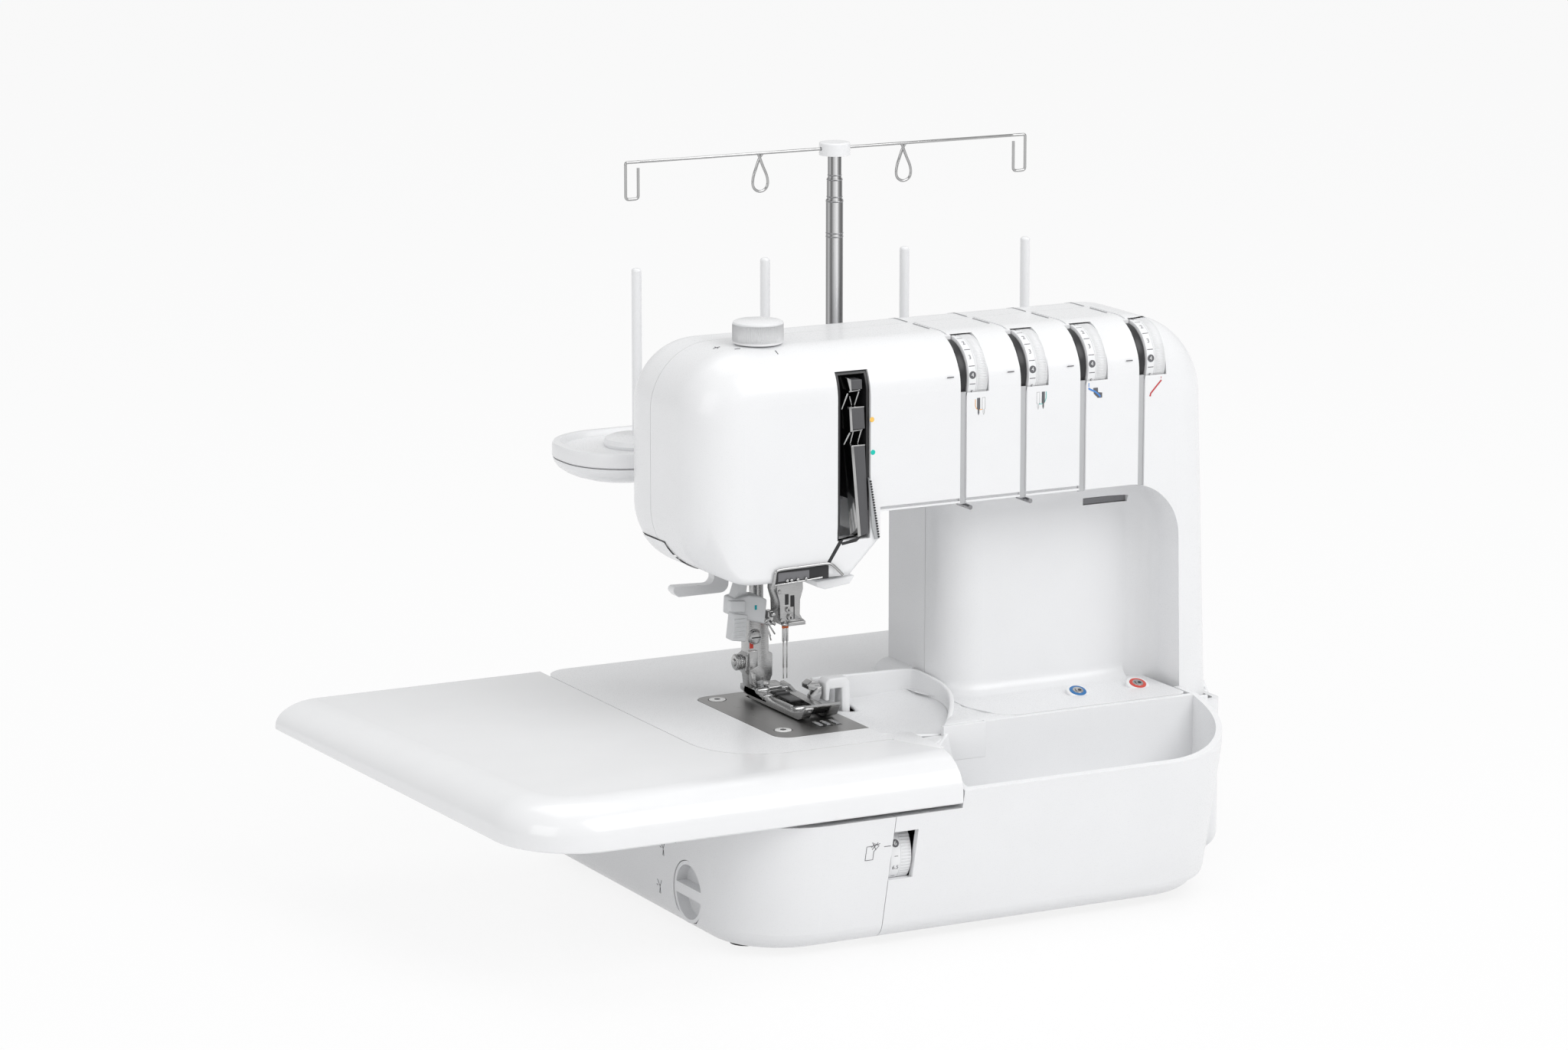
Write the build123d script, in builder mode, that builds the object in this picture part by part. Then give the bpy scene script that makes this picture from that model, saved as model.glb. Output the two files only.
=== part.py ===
from build123d import *
import math
import os

os.makedirs("parts", exist_ok=True)

# Overlock sewing machine. X runs along the front, Y towards the back, Z up, in millimetres.
# The origin lies on the resting plane, under the middle of the base.

# Base and bed
base_width = 341.0
base_back = 142.5
front_bottom = -122.5
front_rim = -142.5
pan_bottom = 4.0
pan_top = 7.0
bed_top = 104.0
bed_thickness = 6.0
lower_wall_top = 76.0
base_wall = 3.5
housing_front = -54.5
free_arm_left = -161.5
free_arm_front = -88.0
bed_right = -59.5
deck_front = 14.0
corner_front_left = 45.0
corner_back = 30.0
bottom_round = 12.0
seam_gap = 0.4
run_gap = 0.5

# Feet
foot_radius = 9.0
foot_spots = [(-145, -80), (120, -70), (-145, 115), (145, 115)]

# Upper housing: head, arm and tower
arm_front = -54.5
arm_back = 45.0
arm_top = 313.0
arm_under = 222.0
head_left = -160.0
head_under = 188.0
head_right = -50.0
tower_left = 10.0
tower_bottom = 94.0
right_lean = 8.5
recess_back = -20.0
recess_right = 139.0
cover_wall = 3.0
edge_round = 28.0
seam_y = 3.0
ledge_front = -72.0
ledge_right = 136.5
ledge_thickness = 10.0
skirt_round = 8.0
flare_round = 10.0
chute_right = 4.0

# Thread tension dials
dial_count = 4
dial_pitch = 37.7
first_slot = 1.5
slot_width = 4.0
dial_width = 12.0
dial_radius = 21.0
dial_shift = 9.0
dial_lean = 34.0
dial_axle_radius = 4.0
disc_radius = 13.0
dial_gap = 0.8
shaft_fit = 0.05

# Take-up slot in the head
take_up_left = -76.0
take_up_right = -56.0
take_up_bottom = 208.0
take_up_top = 300.0

# Small fittings of the head and tower
lamp_left = 98.0
lamp_right = 126.0
lamp_bottom = 205.0
lamp_top = 209.0
cutter_back = -172.0
cutter_front = -128.0
cutter_y0 = -5.0
cutter_y1 = 26.0
cutter_z0 = 189.5
cutter_z1 = 206.5
lifter_x = -94.0
lifter_z = 211.0
lifter_pin = 3.0
tab_left = -125.0
tab_bottom = 162.0
port_xs = (81.5, 120.5)
port_y = -44.0
port_radius = 5.5
port_flange = 7.5
knob_x = -106.0
knob_y = -19.0
knob_stem = 4.0
knob_radius = 14.0
knob_height = 13.0

# Slide-on table
table_left = -303.0
table_tip = -324.0
table_plate = 4.0
table_skirt = 4.8
table_back_bottom = 88.0
table_front_bottom = 79.0
table_corner = 46.0
table_inner_corner = 40.0
table_front_round = 18.0
table_left_round = 12.0
table_gap = 0.5

# Looper cover
cover_left = -86.0
cover_right = 141.0
cover_corner = 58.0
rim_front_height = 86.0
bin_back = -73.0
bin_floor = 58.0
bin_wall = 3.0
bin_left = -42.5
hinge_y = front_bottom + bottom_round
hinge_z = pan_bottom + bottom_round
hinge_pin_radius = 2.5

# Needle plate and needles
plate_left = -114.0
plate_front = -60.0
plate_back = 45.0
plate_thickness = 2.8
plate_corner = 9.0
plate_screw_x = -103.5
plate_screw_ys = (-43.5, 35.5)
needle_x = -73.5
needle_y = 11.5
needle_spacing = 2.2
needle_tip = 118.0
clamp_bottom = 150.0
clamp_top = 174.0
needle_bar_radius = 3.6
presser_x = -83.0
toe_y = -38.0
presser_y = 28.0
presser_radius = 4.0

feed_xs = (-83.5, -78.0, -66.0)
feed_front = -10.0
feed_back = 32.0
screw_head = 5.0
guard_left = -34.0

looper_pin = 3.0
threader_x = -101.0
threader_y = 12.0
threader_rod = 2.5
ankle_top = 154.0
hook_z = 114.0
spring_radius = 5.6
collar_z = 222.0
looper_xs = (-52.0, -30.0)
looper_z = 40.0
knife_front = -4.0
knife_back = 6.0

# Controls on the base
knife_y = -61.0
knife_z = 26.0
knife_radius = 17.0
knife_stem = 4.0
width_y = -113.0
width_z = 52.0
width_radius = 19.0
width_axle = 3.0
width_right = -72.0
width_bottom = 39.0
width_top = 67.0
lug_xs = (-66.0, 40.0)
side_dial_spots = ((68.0, 74.0), (98.0, 74.0))
side_dial_radius = 12.5
side_dial_stem = 4.0
switch_y = 60.0
switch_z = 36.0
inlet_y = 95.0
panel_thickness = 1.5
lever_x = 155.0

# Drive
main_y = 16.0
main_z = 66.0
upper_y = 14.0
upper_z = 246.0
shaft_radius = 6.0
timing_radius = 14.0
timing_left = 100.0
timing_right = 111.0
belt_thickness = 2.0
belt_gap = 0.3
motor_y = 100.0
motor_z = 42.0
motor_radius = 26.0
big_pulley_radius = 24.0
small_pulley_radius = 6.0
drive_left = 134.0
drive_right = 142.0
wheel_radius = 34.0
wheel_width = 18.0
wheel_left = 171.5

# Spool stand
stand_y = 85.5
stand_left = -174.5
stand_right = 167.5
stand_depth = 80.0
stand_corner = 36.0
stand_wall = 6.0
stand_round = 11.0
stand_bottom = 218.0
stand_seam = 236.0
stand_top = 249.0
pin_xs = (-127.5, -47.5, 41.5, 120.5)
pin_radius = 2.8
pin_top = 341.0
seat_radius = 19.0
seat_height = 4.0
mast_x = -3.5
tube_radii = (4.9, 4.4, 3.9)
tube_tops = (371.0, 383.0, 396.0)
tube_fit = 0.05
hub_radius = 8.8
hub_height = 7.5
wire_radius = 1.1
wire_z = 400.0
end_loop_xs = (-130.0, 116.0)
drop_loop_xs = (-50.5, 40.6)

body_right = base_width / 2
base_left = -base_width / 2


def finish(builder, name):
    """Name one finished piece and write its file."""
    builder.part.label = name
    export_step(builder.part, "parts/" + name + ".step")


def slab(x0, x1, y0, y1, z0, z1, mode=Mode.ADD):
    """A block between two corners."""
    with Locations(((x0 + x1) / 2, (y0 + y1) / 2, (z0 + z1) / 2)):
        Box(x1 - x0, y1 - y0, z1 - z0, mode=mode)


def rod_x(x0, x1, y, z, radius, mode=Mode.ADD):
    """A round bar along X."""
    with Locations(Location(((x0 + x1) / 2, y, z), (0, 90, 0))):
        Cylinder(radius, x1 - x0, mode=mode)


def rod_y(y0, y1, x, z, radius, mode=Mode.ADD):
    """A round bar along Y."""
    with Locations(Location((x, (y0 + y1) / 2, z), (90, 0, 0))):
        Cylinder(radius, y1 - y0, mode=mode)


def rod_z(z0, z1, x, y, radius, mode=Mode.ADD):
    """A round bar along Z."""
    with Locations((x, y, (z0 + z1) / 2)):
        Cylinder(radius, z1 - z0, mode=mode)


def outline_face(points, radii, plane, inset=0.0):
    """A closed outline with rounded corners, moved inwards by inset."""
    with BuildSketch(plane) as face:
        with BuildLine():
            FilletPolyline(*points, radius=radii, close=True)
        make_face()
        if inset:
            offset(amount=-inset, mode=Mode.REPLACE)
    return face.sketch


def prism(points, radii, z0, z1, mode=Mode.ADD, inset=0.0):
    """An upright prism on a rounded plan outline."""
    face = outline_face(points, radii, Plane.XY.offset(z0), inset)
    extrude(face, amount=z1 - z0, mode=mode)


def front_prism(points, radii, y0, y1, mode=Mode.ADD, inset=0.0):
    """A prism along Y on an outline drawn in X and Z."""
    face = outline_face(points, radii, Plane.XZ.offset(-y1), inset)
    extrude(face, amount=y1 - y0, mode=mode)


def side_prism(points, radii, x0, x1, mode=Mode.ADD):
    """A prism along X on an outline drawn in Y and Z."""
    face = outline_face(points, radii, Plane.YZ.offset(x0))
    extrude(face, amount=x1 - x0, mode=mode)


def round_plate(x0, x1, y0, y1):
    """Corner points of a rectangle, counter-clockwise from the front left."""
    return [(x0, y0), (x1, y0), (x1, y1), (x0, y1)]


def slot_x(index):
    """Middle of a thread slot on the arm."""
    return first_slot + dial_pitch * index


dial_y = arm_front + edge_round - dial_shift * math.cos(math.radians(dial_lean))
dial_z = arm_top - edge_round + dial_shift * math.sin(math.radians(dial_lean))


def upper_solid(inset):
    """Head, arm and tower as one rounded body, moved inwards by inset."""
    points = [
        (body_right, tower_bottom),
        (body_right - right_lean, arm_top),
        (head_left, arm_top),
        (head_left, head_under),
        (head_right - 18, head_under),
        (head_right, head_under + 18),
        (head_right, arm_under),
        (tower_left, arm_under),
        (tower_left, tower_bottom),
    ]
    radii = [0, 46, 36, 36, 4, 4, 0, 0, 0]
    with BuildPart() as upper:
        front_prism(points, radii, arm_front + inset, arm_back - inset, inset=inset)
        recess = [
            (head_right - inset, arm_under + inset),
            (recess_right + inset, arm_under + inset),
            (recess_right + inset + 3, tower_bottom - 4),
            (head_right - inset, tower_bottom - 4),
        ]
        front_prism(recess, [0, 32, 0, 0], arm_front, recess_back + inset, Mode.SUBTRACT)
        rims = [
            edge
            for edge in upper.edges()
            if edge.bounding_box().size.Y < 0.001
            and (
                edge.center().Z > arm_under + 20
                or edge.center().X < head_right - 24
                or (edge.center().X > body_right - 15 and edge.center().Z > tower_bottom + 8)
            )
        ]
        fillet(rims, edge_round - inset)
        upright = [
            edge
            for edge in upper.edges().filter_by(Axis.Z)
            if abs(edge.center().Y - recess_back - inset) < 0.01
            and abs(edge.center().X - tower_left - inset) < 0.01
        ]
        fillet(upright, 24 - inset)
        hollow = [
            edge
            for edge in upper.edges()
            if abs(edge.center().Y - recess_back - inset) < 0.001
            and edge.bounding_box().size.Y < 0.001
            and edge.center().Z > tower_bottom + 8
        ]
        if not inset:
            fillet(hollow, 14)
    return upper.part


def skirt():
    """Concave foot round the tower where it meets the ledge."""
    start = (tower_left, arm_back - edge_round, bed_top)
    with BuildLine() as path:
        side = Line(start, (tower_left, recess_back + 24, bed_top))
        turn = TangentArc(side @ 1, (tower_left + 24, recess_back, bed_top), tangent=side % 1)
        Line(turn @ 1, (recess_right - 14, recess_back, bed_top))
    with BuildSketch(Plane(start, x_dir=(-1, 0, 0), z_dir=(0, 1, 0))) as profile:
        with BuildLine():
            foot = Line((-2, 0), (skirt_round, 0))
            bow = RadiusArc(foot @ 1, (0, skirt_round), skirt_round)
            Polyline(bow @ 1, (-2, skirt_round), (-2, 0))
        make_face()
    sweep(sections=profile.sketch, path=path.line)


def flare():
    """Wide concave foot at the back of the tower's left side."""
    low = bed_top + seam_gap
    with BuildSketch(Plane.XZ.offset(-arm_back)) as profile:
        with BuildLine():
            foot = Line((tower_left + 1, low), (tower_left - flare_round, low))
            bow = RadiusArc(foot @ 1, (tower_left, low + flare_round), flare_round)
            Polyline(bow @ 1, (tower_left + 1, low + flare_round), (tower_left + 1, low))
        make_face()
    extrude(profile.sketch, amount=arm_back - deck_front - seam_gap)


# Upper housing as a hollow shell, later parted at the seam
outer_form = upper_solid(0.0)
inner_form = upper_solid(cover_wall)
with BuildPart() as shell:
    add(outer_form)
    ledge = [
        (ledge_right, ledge_front),
        (20, ledge_front),
        (tower_left + 1, ledge_front + 27),
        (tower_left + 1, seam_y - 4),
        (ledge_right, seam_y - 4),
    ]
    prism(ledge, [6, 14, 14, 0, 0], bed_top - ledge_thickness, bed_top)
    skirt()
    flare()
    add(inner_form, mode=Mode.SUBTRACT)
    # Open floor of the tower
    slab(
        tower_left + 6, body_right - 8, recess_back + 4.4, arm_back - 4,
        tower_bottom - 2, bed_top, Mode.SUBTRACT,
    )
    # Way out for the bars under the head
    prism(round_plate(-122, -54, -30, 41), 6, head_under - 5, head_under + 12, Mode.SUBTRACT)
    # Thread way at the lower right of the head
    front_prism(
        [(-112, 180), (-58, 180), (-58, 193), (-84, 195), (-112, 191)],
        [0, 0, 0, 3, 2], arm_front - 2, -28, Mode.SUBTRACT,
    )
    front_prism(
        [(take_up_left, take_up_bottom - 2), (-86, 194), (-80, 192), (-66, take_up_bottom - 2)],
        0, arm_front - 2, arm_front + 9, Mode.SUBTRACT,
    )
    # Take-up slot
    slab(take_up_left, take_up_right, arm_front - 2, arm_front + 9, take_up_bottom, take_up_top, Mode.SUBTRACT)
    for index in range(dial_count):
        middle = slot_x(index)
        left = middle - slot_width / 2
        right = middle + slot_width / 2
        slab(left, right, arm_front - 2, arm_front + 9, arm_under - 1, dial_z, Mode.SUBTRACT)
        slab(left, right, arm_front - 2, dial_y - 2, dial_z - 2, arm_top + 2, Mode.SUBTRACT)
        rod_x(
            right - 0.1, right + dial_width + 2 * dial_gap, dial_y, dial_z,
            dial_radius + dial_gap, Mode.SUBTRACT,
        )
        slab(middle - 0.6, middle + 0.6, dial_y - 3, seam_y, arm_top - 1.4, arm_top + 2, Mode.SUBTRACT)
    # Shadow line under the arm
    slab(head_right, slot_x(2), arm_front - 2, arm_front + 2, arm_under + 1, arm_under + 2.6, Mode.SUBTRACT)
    # Lamp window, knob bore, thread cutter seat
    slab(lamp_left, lamp_right, recess_back - 4, recess_back + 5, lamp_bottom, lamp_top, Mode.SUBTRACT)
    slab(cutter_back, cutter_front, cutter_y0, cutter_y1, cutter_z0, cutter_z1, Mode.SUBTRACT)
    rod_y(arm_back - 8, arm_back + 2, lifter_x, lifter_z, lifter_pin + run_gap, Mode.SUBTRACT)
    for x in port_xs:
        rod_z(bed_top - ledge_thickness - 1, bed_top + 1, x, port_y, port_radius, Mode.SUBTRACT)
    rod_z(arm_top - 6, arm_top + 2, knob_x, knob_y, knob_stem + shaft_fit, Mode.SUBTRACT)

with BuildPart() as front_cover:
    add(shell.part)
    split(bisect_by=Plane.XZ.offset(-(seam_y - seam_gap / 2)), keep=Keep.TOP)
finish(front_cover, "front_cover")

with BuildPart() as rear_cover:
    add(shell.part)
    split(bisect_by=Plane.XZ.offset(-(seam_y + seam_gap / 2)), keep=Keep.BOTTOM)
finish(rear_cover, "rear_cover")

with BuildPart() as thread_cutter:
    slab(
        cutter_back, cutter_front, cutter_y0 + seam_gap, cutter_y1 - seam_gap,
        cutter_z0 + seam_gap, cutter_z1 - seam_gap,
    )
    add(outer_form, mode=Mode.INTERSECT)
    add(inner_form, mode=Mode.SUBTRACT)
finish(thread_cutter, "thread_cutter")

with BuildPart() as lamp_lens:
    slab(lamp_left + seam_gap, lamp_right - seam_gap, recess_back + 0.6, recess_back + cover_wall,
         lamp_bottom + seam_gap, lamp_top - seam_gap)
finish(lamp_lens, "lamp_lens")

with BuildPart() as looper_ports:
    for x in port_xs:
        rod_z(bed_top, bed_top + 1.5, x, port_y, port_flange)
        rod_z(bed_top - ledge_thickness, bed_top, x, port_y, port_radius - seam_gap / 4)
        rod_z(bed_top - ledge_thickness - 1, bed_top + 2, x, port_y, 2.0, Mode.SUBTRACT)
finish(looper_ports, "looper_ports")

with BuildPart() as take_up_guard:
    slab(
        take_up_left + seam_gap, take_up_right - seam_gap, arm_front + 1.5, -22,
        take_up_bottom + seam_gap, take_up_top - seam_gap,
    )
    slab(take_up_left + 2, take_up_right - 2, arm_front - 2, -24, 190, take_up_top - 2, Mode.SUBTRACT)
    slab(take_up_left, take_up_right, arm_front + 8.6, 0, 190, arm_under + 4, Mode.SUBTRACT)
    add(upper_solid(1.2), mode=Mode.INTERSECT)
finish(take_up_guard, "take_up_guard")

with BuildPart() as thread_guides:
    for index in range(2):
        guide_x = slot_x(index) + slot_width / 2 + 1.5
        rod_y(arm_front - 2, arm_front + 12, guide_x, arm_under - 2.6, 1.3)
        rod_z(arm_under - 2.6, arm_under, guide_x, arm_front + 9, 1.3)
    rod_x(-112, -74, arm_front + 7, head_under + 2.4, 1.5)
    rod_z(head_under + 2.4, head_under + 8.2, -100, arm_front + 7, 1.5)
finish(thread_guides, "thread_guides")

with BuildPart() as pressure_knob:
    rod_z(arm_top + seam_gap, arm_top + knob_height, knob_x, knob_y, knob_radius)
    fillet(pressure_knob.faces().sort_by(Axis.Z)[-1].edges(), 2)
    rod_z(arm_top - 12, arm_top + 2, knob_x, knob_y, knob_stem)
finish(pressure_knob, "pressure_knob")

# Tension dials on one axle
for index in range(dial_count):
    dial_left = slot_x(index) + slot_width / 2 + dial_gap
    with BuildPart() as tension_dial:
        rod_x(dial_left, dial_left + dial_width, dial_y, dial_z, dial_radius)
        fillet(tension_dial.edges().filter_by(GeomType.CIRCLE), 0.8)
        rod_x(dial_left - 1, dial_left + dial_width + 1, dial_y, dial_z, dial_axle_radius + shaft_fit, Mode.SUBTRACT)
    finish(tension_dial, "tension_dial_" + str(index + 1))

axle_left = first_slot - 12
axle_right = slot_x(dial_count - 1) + slot_width + dial_width + 8
with BuildPart() as tension_axle:
    rod_x(axle_left, axle_right, dial_y, dial_z, dial_axle_radius)
    for index in range(dial_count):
        disc_x = slot_x(index)
        rod_x(disc_x - 1.7, disc_x - 0.2, dial_y, dial_z, disc_radius)
        rod_x(disc_x + 0.2, disc_x + 1.7, dial_y, dial_z, disc_radius)
finish(tension_axle, "tension_axle")



def lower_plan(front):
    """Plan of the base with its front extension."""
    points = [
        (base_left, front),
        (cover_right, front),
        (cover_right, housing_front),
        (body_right, housing_front),
        (body_right, base_back),
        (base_left, base_back),
    ]
    return points, [corner_front_left, cover_corner, 0, 6, corner_back, corner_back]


def lower_solid(inset):
    """Base form that leans forward as it rises, moved inwards by inset."""
    with BuildPart() as lower:
        points, radii = lower_plan(front_bottom)
        foot_face = outline_face(points, radii, Plane.XY.offset(pan_bottom + inset), inset)
        points, radii = lower_plan(front_rim)
        rim_face = outline_face(points, radii, Plane.XY.offset(rim_front_height), inset)
        loft(sections=[foot_face, rim_face], ruled=True)
        extrude(rim_face, amount=bed_top - rim_front_height)
        fillet(lower.faces().sort_by(Axis.Z)[0].edges(), bottom_round - inset)
    return lower.part


lower_outer = lower_solid(0.0)
lower_inner = lower_solid(base_wall)
free_arm = round_plate(free_arm_left, bed_right, free_arm_front, base_back - 0.2)
free_arm_radii = [table_inner_corner, 0, 0, 16]
tower_floor = tower_bottom - seam_gap
cover_zone_back = housing_front - seam_gap
shelf = lower_wall_top - base_wall

with BuildPart() as low_cavity:
    add(lower_inner)
    slab(-300, 300, -300, 300, shelf, 300, Mode.SUBTRACT)
    slab(cover_left - 4, cover_left, -300, housing_front, 0, 300, Mode.SUBTRACT)

with BuildPart() as deck_cavity:
    add(lower_inner)
    slab(-300, 300, -300, 300, 0, shelf - 1, Mode.SUBTRACT)
    slab(-300, 300, -300, 300, bed_top - base_wall, 300, Mode.SUBTRACT)
    slab(-300, bed_right + base_wall, -300, 300, 0, 300, Mode.SUBTRACT)

with BuildPart() as step:
    slab(-300, bed_right, -300, 300, lower_wall_top, 300)
    prism(free_arm, free_arm_radii, lower_wall_top - 1, 301, Mode.SUBTRACT)

with BuildPart() as base_housing:
    add(lower_outer)
    add(low_cavity.part, mode=Mode.SUBTRACT)
    add(deck_cavity.part, mode=Mode.SUBTRACT)
    # Step under the slide-on table
    add(step.part, mode=Mode.SUBTRACT)
    slab(-300, bed_right, -300, 300, bed_top - bed_thickness, 300, Mode.SUBTRACT)
    prism(free_arm, free_arm_radii, shelf - 1, bed_top + 1, Mode.SUBTRACT, inset=base_wall)
    # Room for the looper cover, the cutting area and the tower
    slab(cover_left - seam_gap, cover_right + 1, -300, cover_zone_back, 0, 300, Mode.SUBTRACT)
    slab(bed_right, 44, -300, deck_front, 0, 300, Mode.SUBTRACT)
    slab(bed_right - 8, bed_right + 1, plate_front - 2, plate_back + 2, 40, 300, Mode.SUBTRACT)
    slab(tower_left - seam_gap, 300, -300, arm_back + seam_gap, tower_floor, 300, Mode.SUBTRACT)
    slab(44, cover_right, housing_front, housing_front + base_wall, pan_bottom + base_wall, tower_floor)
    # Floor opening for the pan
    points, radii = lower_plan(front_bottom)
    prism(points, radii, 0, 9, Mode.SUBTRACT, inset=bottom_round + 4)
    # Openings in the side walls
    rod_x(base_left - 2, base_left + 8, knife_y, knife_z, knife_radius + run_gap, Mode.SUBTRACT)
    slab(base_left + 18, base_left + 21, knife_y - 24, knife_y + 30, pan_top, 44)
    rod_x(base_left + 14, base_left + 26, knife_y, knife_z, knife_stem + shaft_fit, Mode.SUBTRACT)
    rod_x(body_right - 8, body_right + 2, main_y, main_z, shaft_radius + run_gap, Mode.SUBTRACT)
    for y, z in side_dial_spots:
        rod_x(body_right - 8, body_right + 2, y, z, side_dial_stem + shaft_fit, Mode.SUBTRACT)
    slab(body_right - 8, body_right + 2, switch_y - 8, switch_y + 8, 24, 48, Mode.SUBTRACT)
    slab(body_right - 8, body_right + 2, inlet_y - 14, inlet_y + 14, 24, 46, Mode.SUBTRACT)
    slab(lever_x - 2.5, lever_x + 2.5, housing_front - 2, housing_front + 8, 78, 91, Mode.SUBTRACT)
    rod_x(cover_left - 3, width_right - 0.5, width_y, width_z, width_axle)
finish(base_housing, "base_housing")

with BuildPart() as base_pan:
    points, radii = lower_plan(front_bottom)
    prism(points, radii, pan_bottom, pan_top, inset=bottom_round + 4 + seam_gap)
    slab(cover_left - seam_gap, 300, -300, -96, 0, 30, Mode.SUBTRACT)
    slab(cover_right - 10, 300, -300, housing_front + 18, 0, 30, Mode.SUBTRACT)
    for x in lug_xs:
        slab(x - 4, x + 4, -96, -84, pan_bottom, hinge_z + 5)
        slab(x - 4, x + 4, hinge_y, -84, hinge_z - 5, hinge_z + 5)
        rod_x(x - 4, x + 4, hinge_y, hinge_z, 5)
        rod_x(x, x + 14, hinge_y, hinge_z, hinge_pin_radius)
finish(base_pan, "base_pan")

with BuildPart() as rubber_feet:
    for x, y in foot_spots:
        rod_z(0, pan_bottom, x, y, foot_radius)
finish(rubber_feet, "rubber_feet")

rim_line = [(-160, rim_front_height - 4.6), (-40, rim_front_height + 27.2), (-40, 200), (-160, 200)]
with BuildPart() as bin_space:
    add(lower_inner)
    slab(-300, 300, -300, 300, 0, bin_floor, Mode.SUBTRACT)
    slab(-300, bin_left, -300, 300, 0, 300, Mode.SUBTRACT)
    slab(-300, 300, bin_back - bin_wall, 300, 0, 300, Mode.SUBTRACT)

with BuildPart() as under_space:
    add(lower_inner)
    slab(bin_left - base_wall, 300, -300, 300, bin_floor - bin_wall, 300, Mode.SUBTRACT)
    slab(-300, 300, -300, 300, shelf - 1, 300, Mode.SUBTRACT)

with BuildPart() as looper_cover:
    add(lower_outer)
    slab(-300, cover_left, -300, 300, 0, 300, Mode.SUBTRACT)
    slab(-300, 300, housing_front - 1, 300, 0, 300, Mode.SUBTRACT)
    slab(-300, cover_right - base_wall, bin_back, 300, 0, 300, Mode.SUBTRACT)
    side_prism(rim_line, 0, -300, 300, Mode.SUBTRACT)
    add(bin_space.part, mode=Mode.SUBTRACT)
    add(under_space.part, mode=Mode.SUBTRACT)
    slab(-300, bin_left - base_wall, -300, 300, lower_wall_top, 300, Mode.SUBTRACT)
    slab(-300, bin_left - base_wall, front_rim + 14, 300, 60, 300, Mode.SUBTRACT)
    slab(-300, 300, hinge_y - 6, 300, 0, hinge_z - 6, Mode.SUBTRACT)
    slab(cover_left - 1, width_right + run_gap, -300, -112, width_bottom, width_top, Mode.SUBTRACT)
    slab(cover_left - 1, chute_right, bin_back - base_wall - 4, bin_back + 1, bed_top - 12, 200, Mode.SUBTRACT)
    for x in lug_xs:
        slab(x + 4.5, x + 12.5, front_bottom + 2, hinge_y, hinge_z - 4, hinge_z + 5)
        rod_x(x + 4.5, x + 12.5, hinge_y, hinge_z, 5)
        rod_x(x + 4, x + 13, hinge_y, hinge_z, hinge_pin_radius + shaft_fit, Mode.SUBTRACT)
finish(looper_cover, "looper_cover")

plate_outline = round_plate(plate_left, bed_right, plate_front, plate_back)
plate_radii = [plate_corner, 0, 0, plate_corner]
with BuildPart() as bed_cover:
    prism(free_arm, free_arm_radii, bed_top - bed_thickness, bed_top)
    prism(plate_outline, plate_radii, bed_top - plate_thickness, bed_top + 1, Mode.SUBTRACT, inset=-seam_gap)
    slab(plate_left + 18, bed_right + 1, plate_front + 7, plate_back - 7, bed_top - 9, bed_top, Mode.SUBTRACT)
    for y in plate_screw_ys:
        rod_z(bed_top - bed_thickness - 1, bed_top, plate_screw_x, y, 2.0, Mode.SUBTRACT)
finish(bed_cover, "bed_cover")

with BuildPart() as needle_plate:
    prism(plate_outline, plate_radii, bed_top - plate_thickness, bed_top)
    for x in feed_xs:
        slab(x - 2.4, x + 2.4, feed_front - 4, feed_back + 4, bed_top - 9, bed_top + 1, Mode.SUBTRACT)
    slab(needle_x - 3, needle_x + 4, needle_y - 3, needle_y + 3, bed_top - 9, bed_top + 1, Mode.SUBTRACT)
    for y in plate_screw_ys:
        rod_z(bed_top - plate_thickness - 1, bed_top + 1, plate_screw_x, y, 2.4, Mode.SUBTRACT)
        rod_z(bed_top - 1.2, bed_top + 1, plate_screw_x, y, screw_head + 0.2, Mode.SUBTRACT)
finish(needle_plate, "needle_plate")

with BuildPart() as plate_screws:
    for y in plate_screw_ys:
        rod_z(bed_top - 1.2, bed_top + 0.4, plate_screw_x, y, screw_head)
        rod_z(bed_top - bed_thickness, bed_top - 1.2, plate_screw_x, y, 2.0)
finish(plate_screws, "plate_screws")

# Slide-on table round the free arm
inner_x = free_arm_left - table_gap
inner_y = free_arm_front - table_gap
table_points = [
    (inner_x, base_back),
    (inner_x, inner_y),
    (bed_right - 2, inner_y),
    (bed_right + 13, front_rim),
    (table_left, front_rim),
    (table_left, 60),
    (table_tip, base_back),
]
table_radii = [0, table_inner_corner + table_gap, 0, 3, table_corner, 60, 8]
with BuildPart() as slide_on_table:
    prism(table_points, table_radii, table_front_bottom - 8, bed_top)
    front_edges = [
        edge
        for edge in slide_on_table.edges()
        if abs(edge.center().Z - bed_top) < 0.01
        and (edge.center().X < inner_x - 60 or edge.center().Y < inner_y - 40)
        and edge.center().Y < base_back - 5
        and edge.center().X < bed_right
    ]
    fillet(front_edges, table_left_round)
    prism(
        table_points, table_radii, 0, bed_top - table_plate, Mode.SUBTRACT,
        inset=table_skirt,
    )
    side_prism(
        [(-300, 40), (-300, table_front_bottom), (front_rim, table_front_bottom),
         (base_back + 2, table_back_bottom), (base_back + 2, 40)],
        0, -400, 0, Mode.SUBTRACT,
    )
finish(slide_on_table, "slide_on_table")

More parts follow.
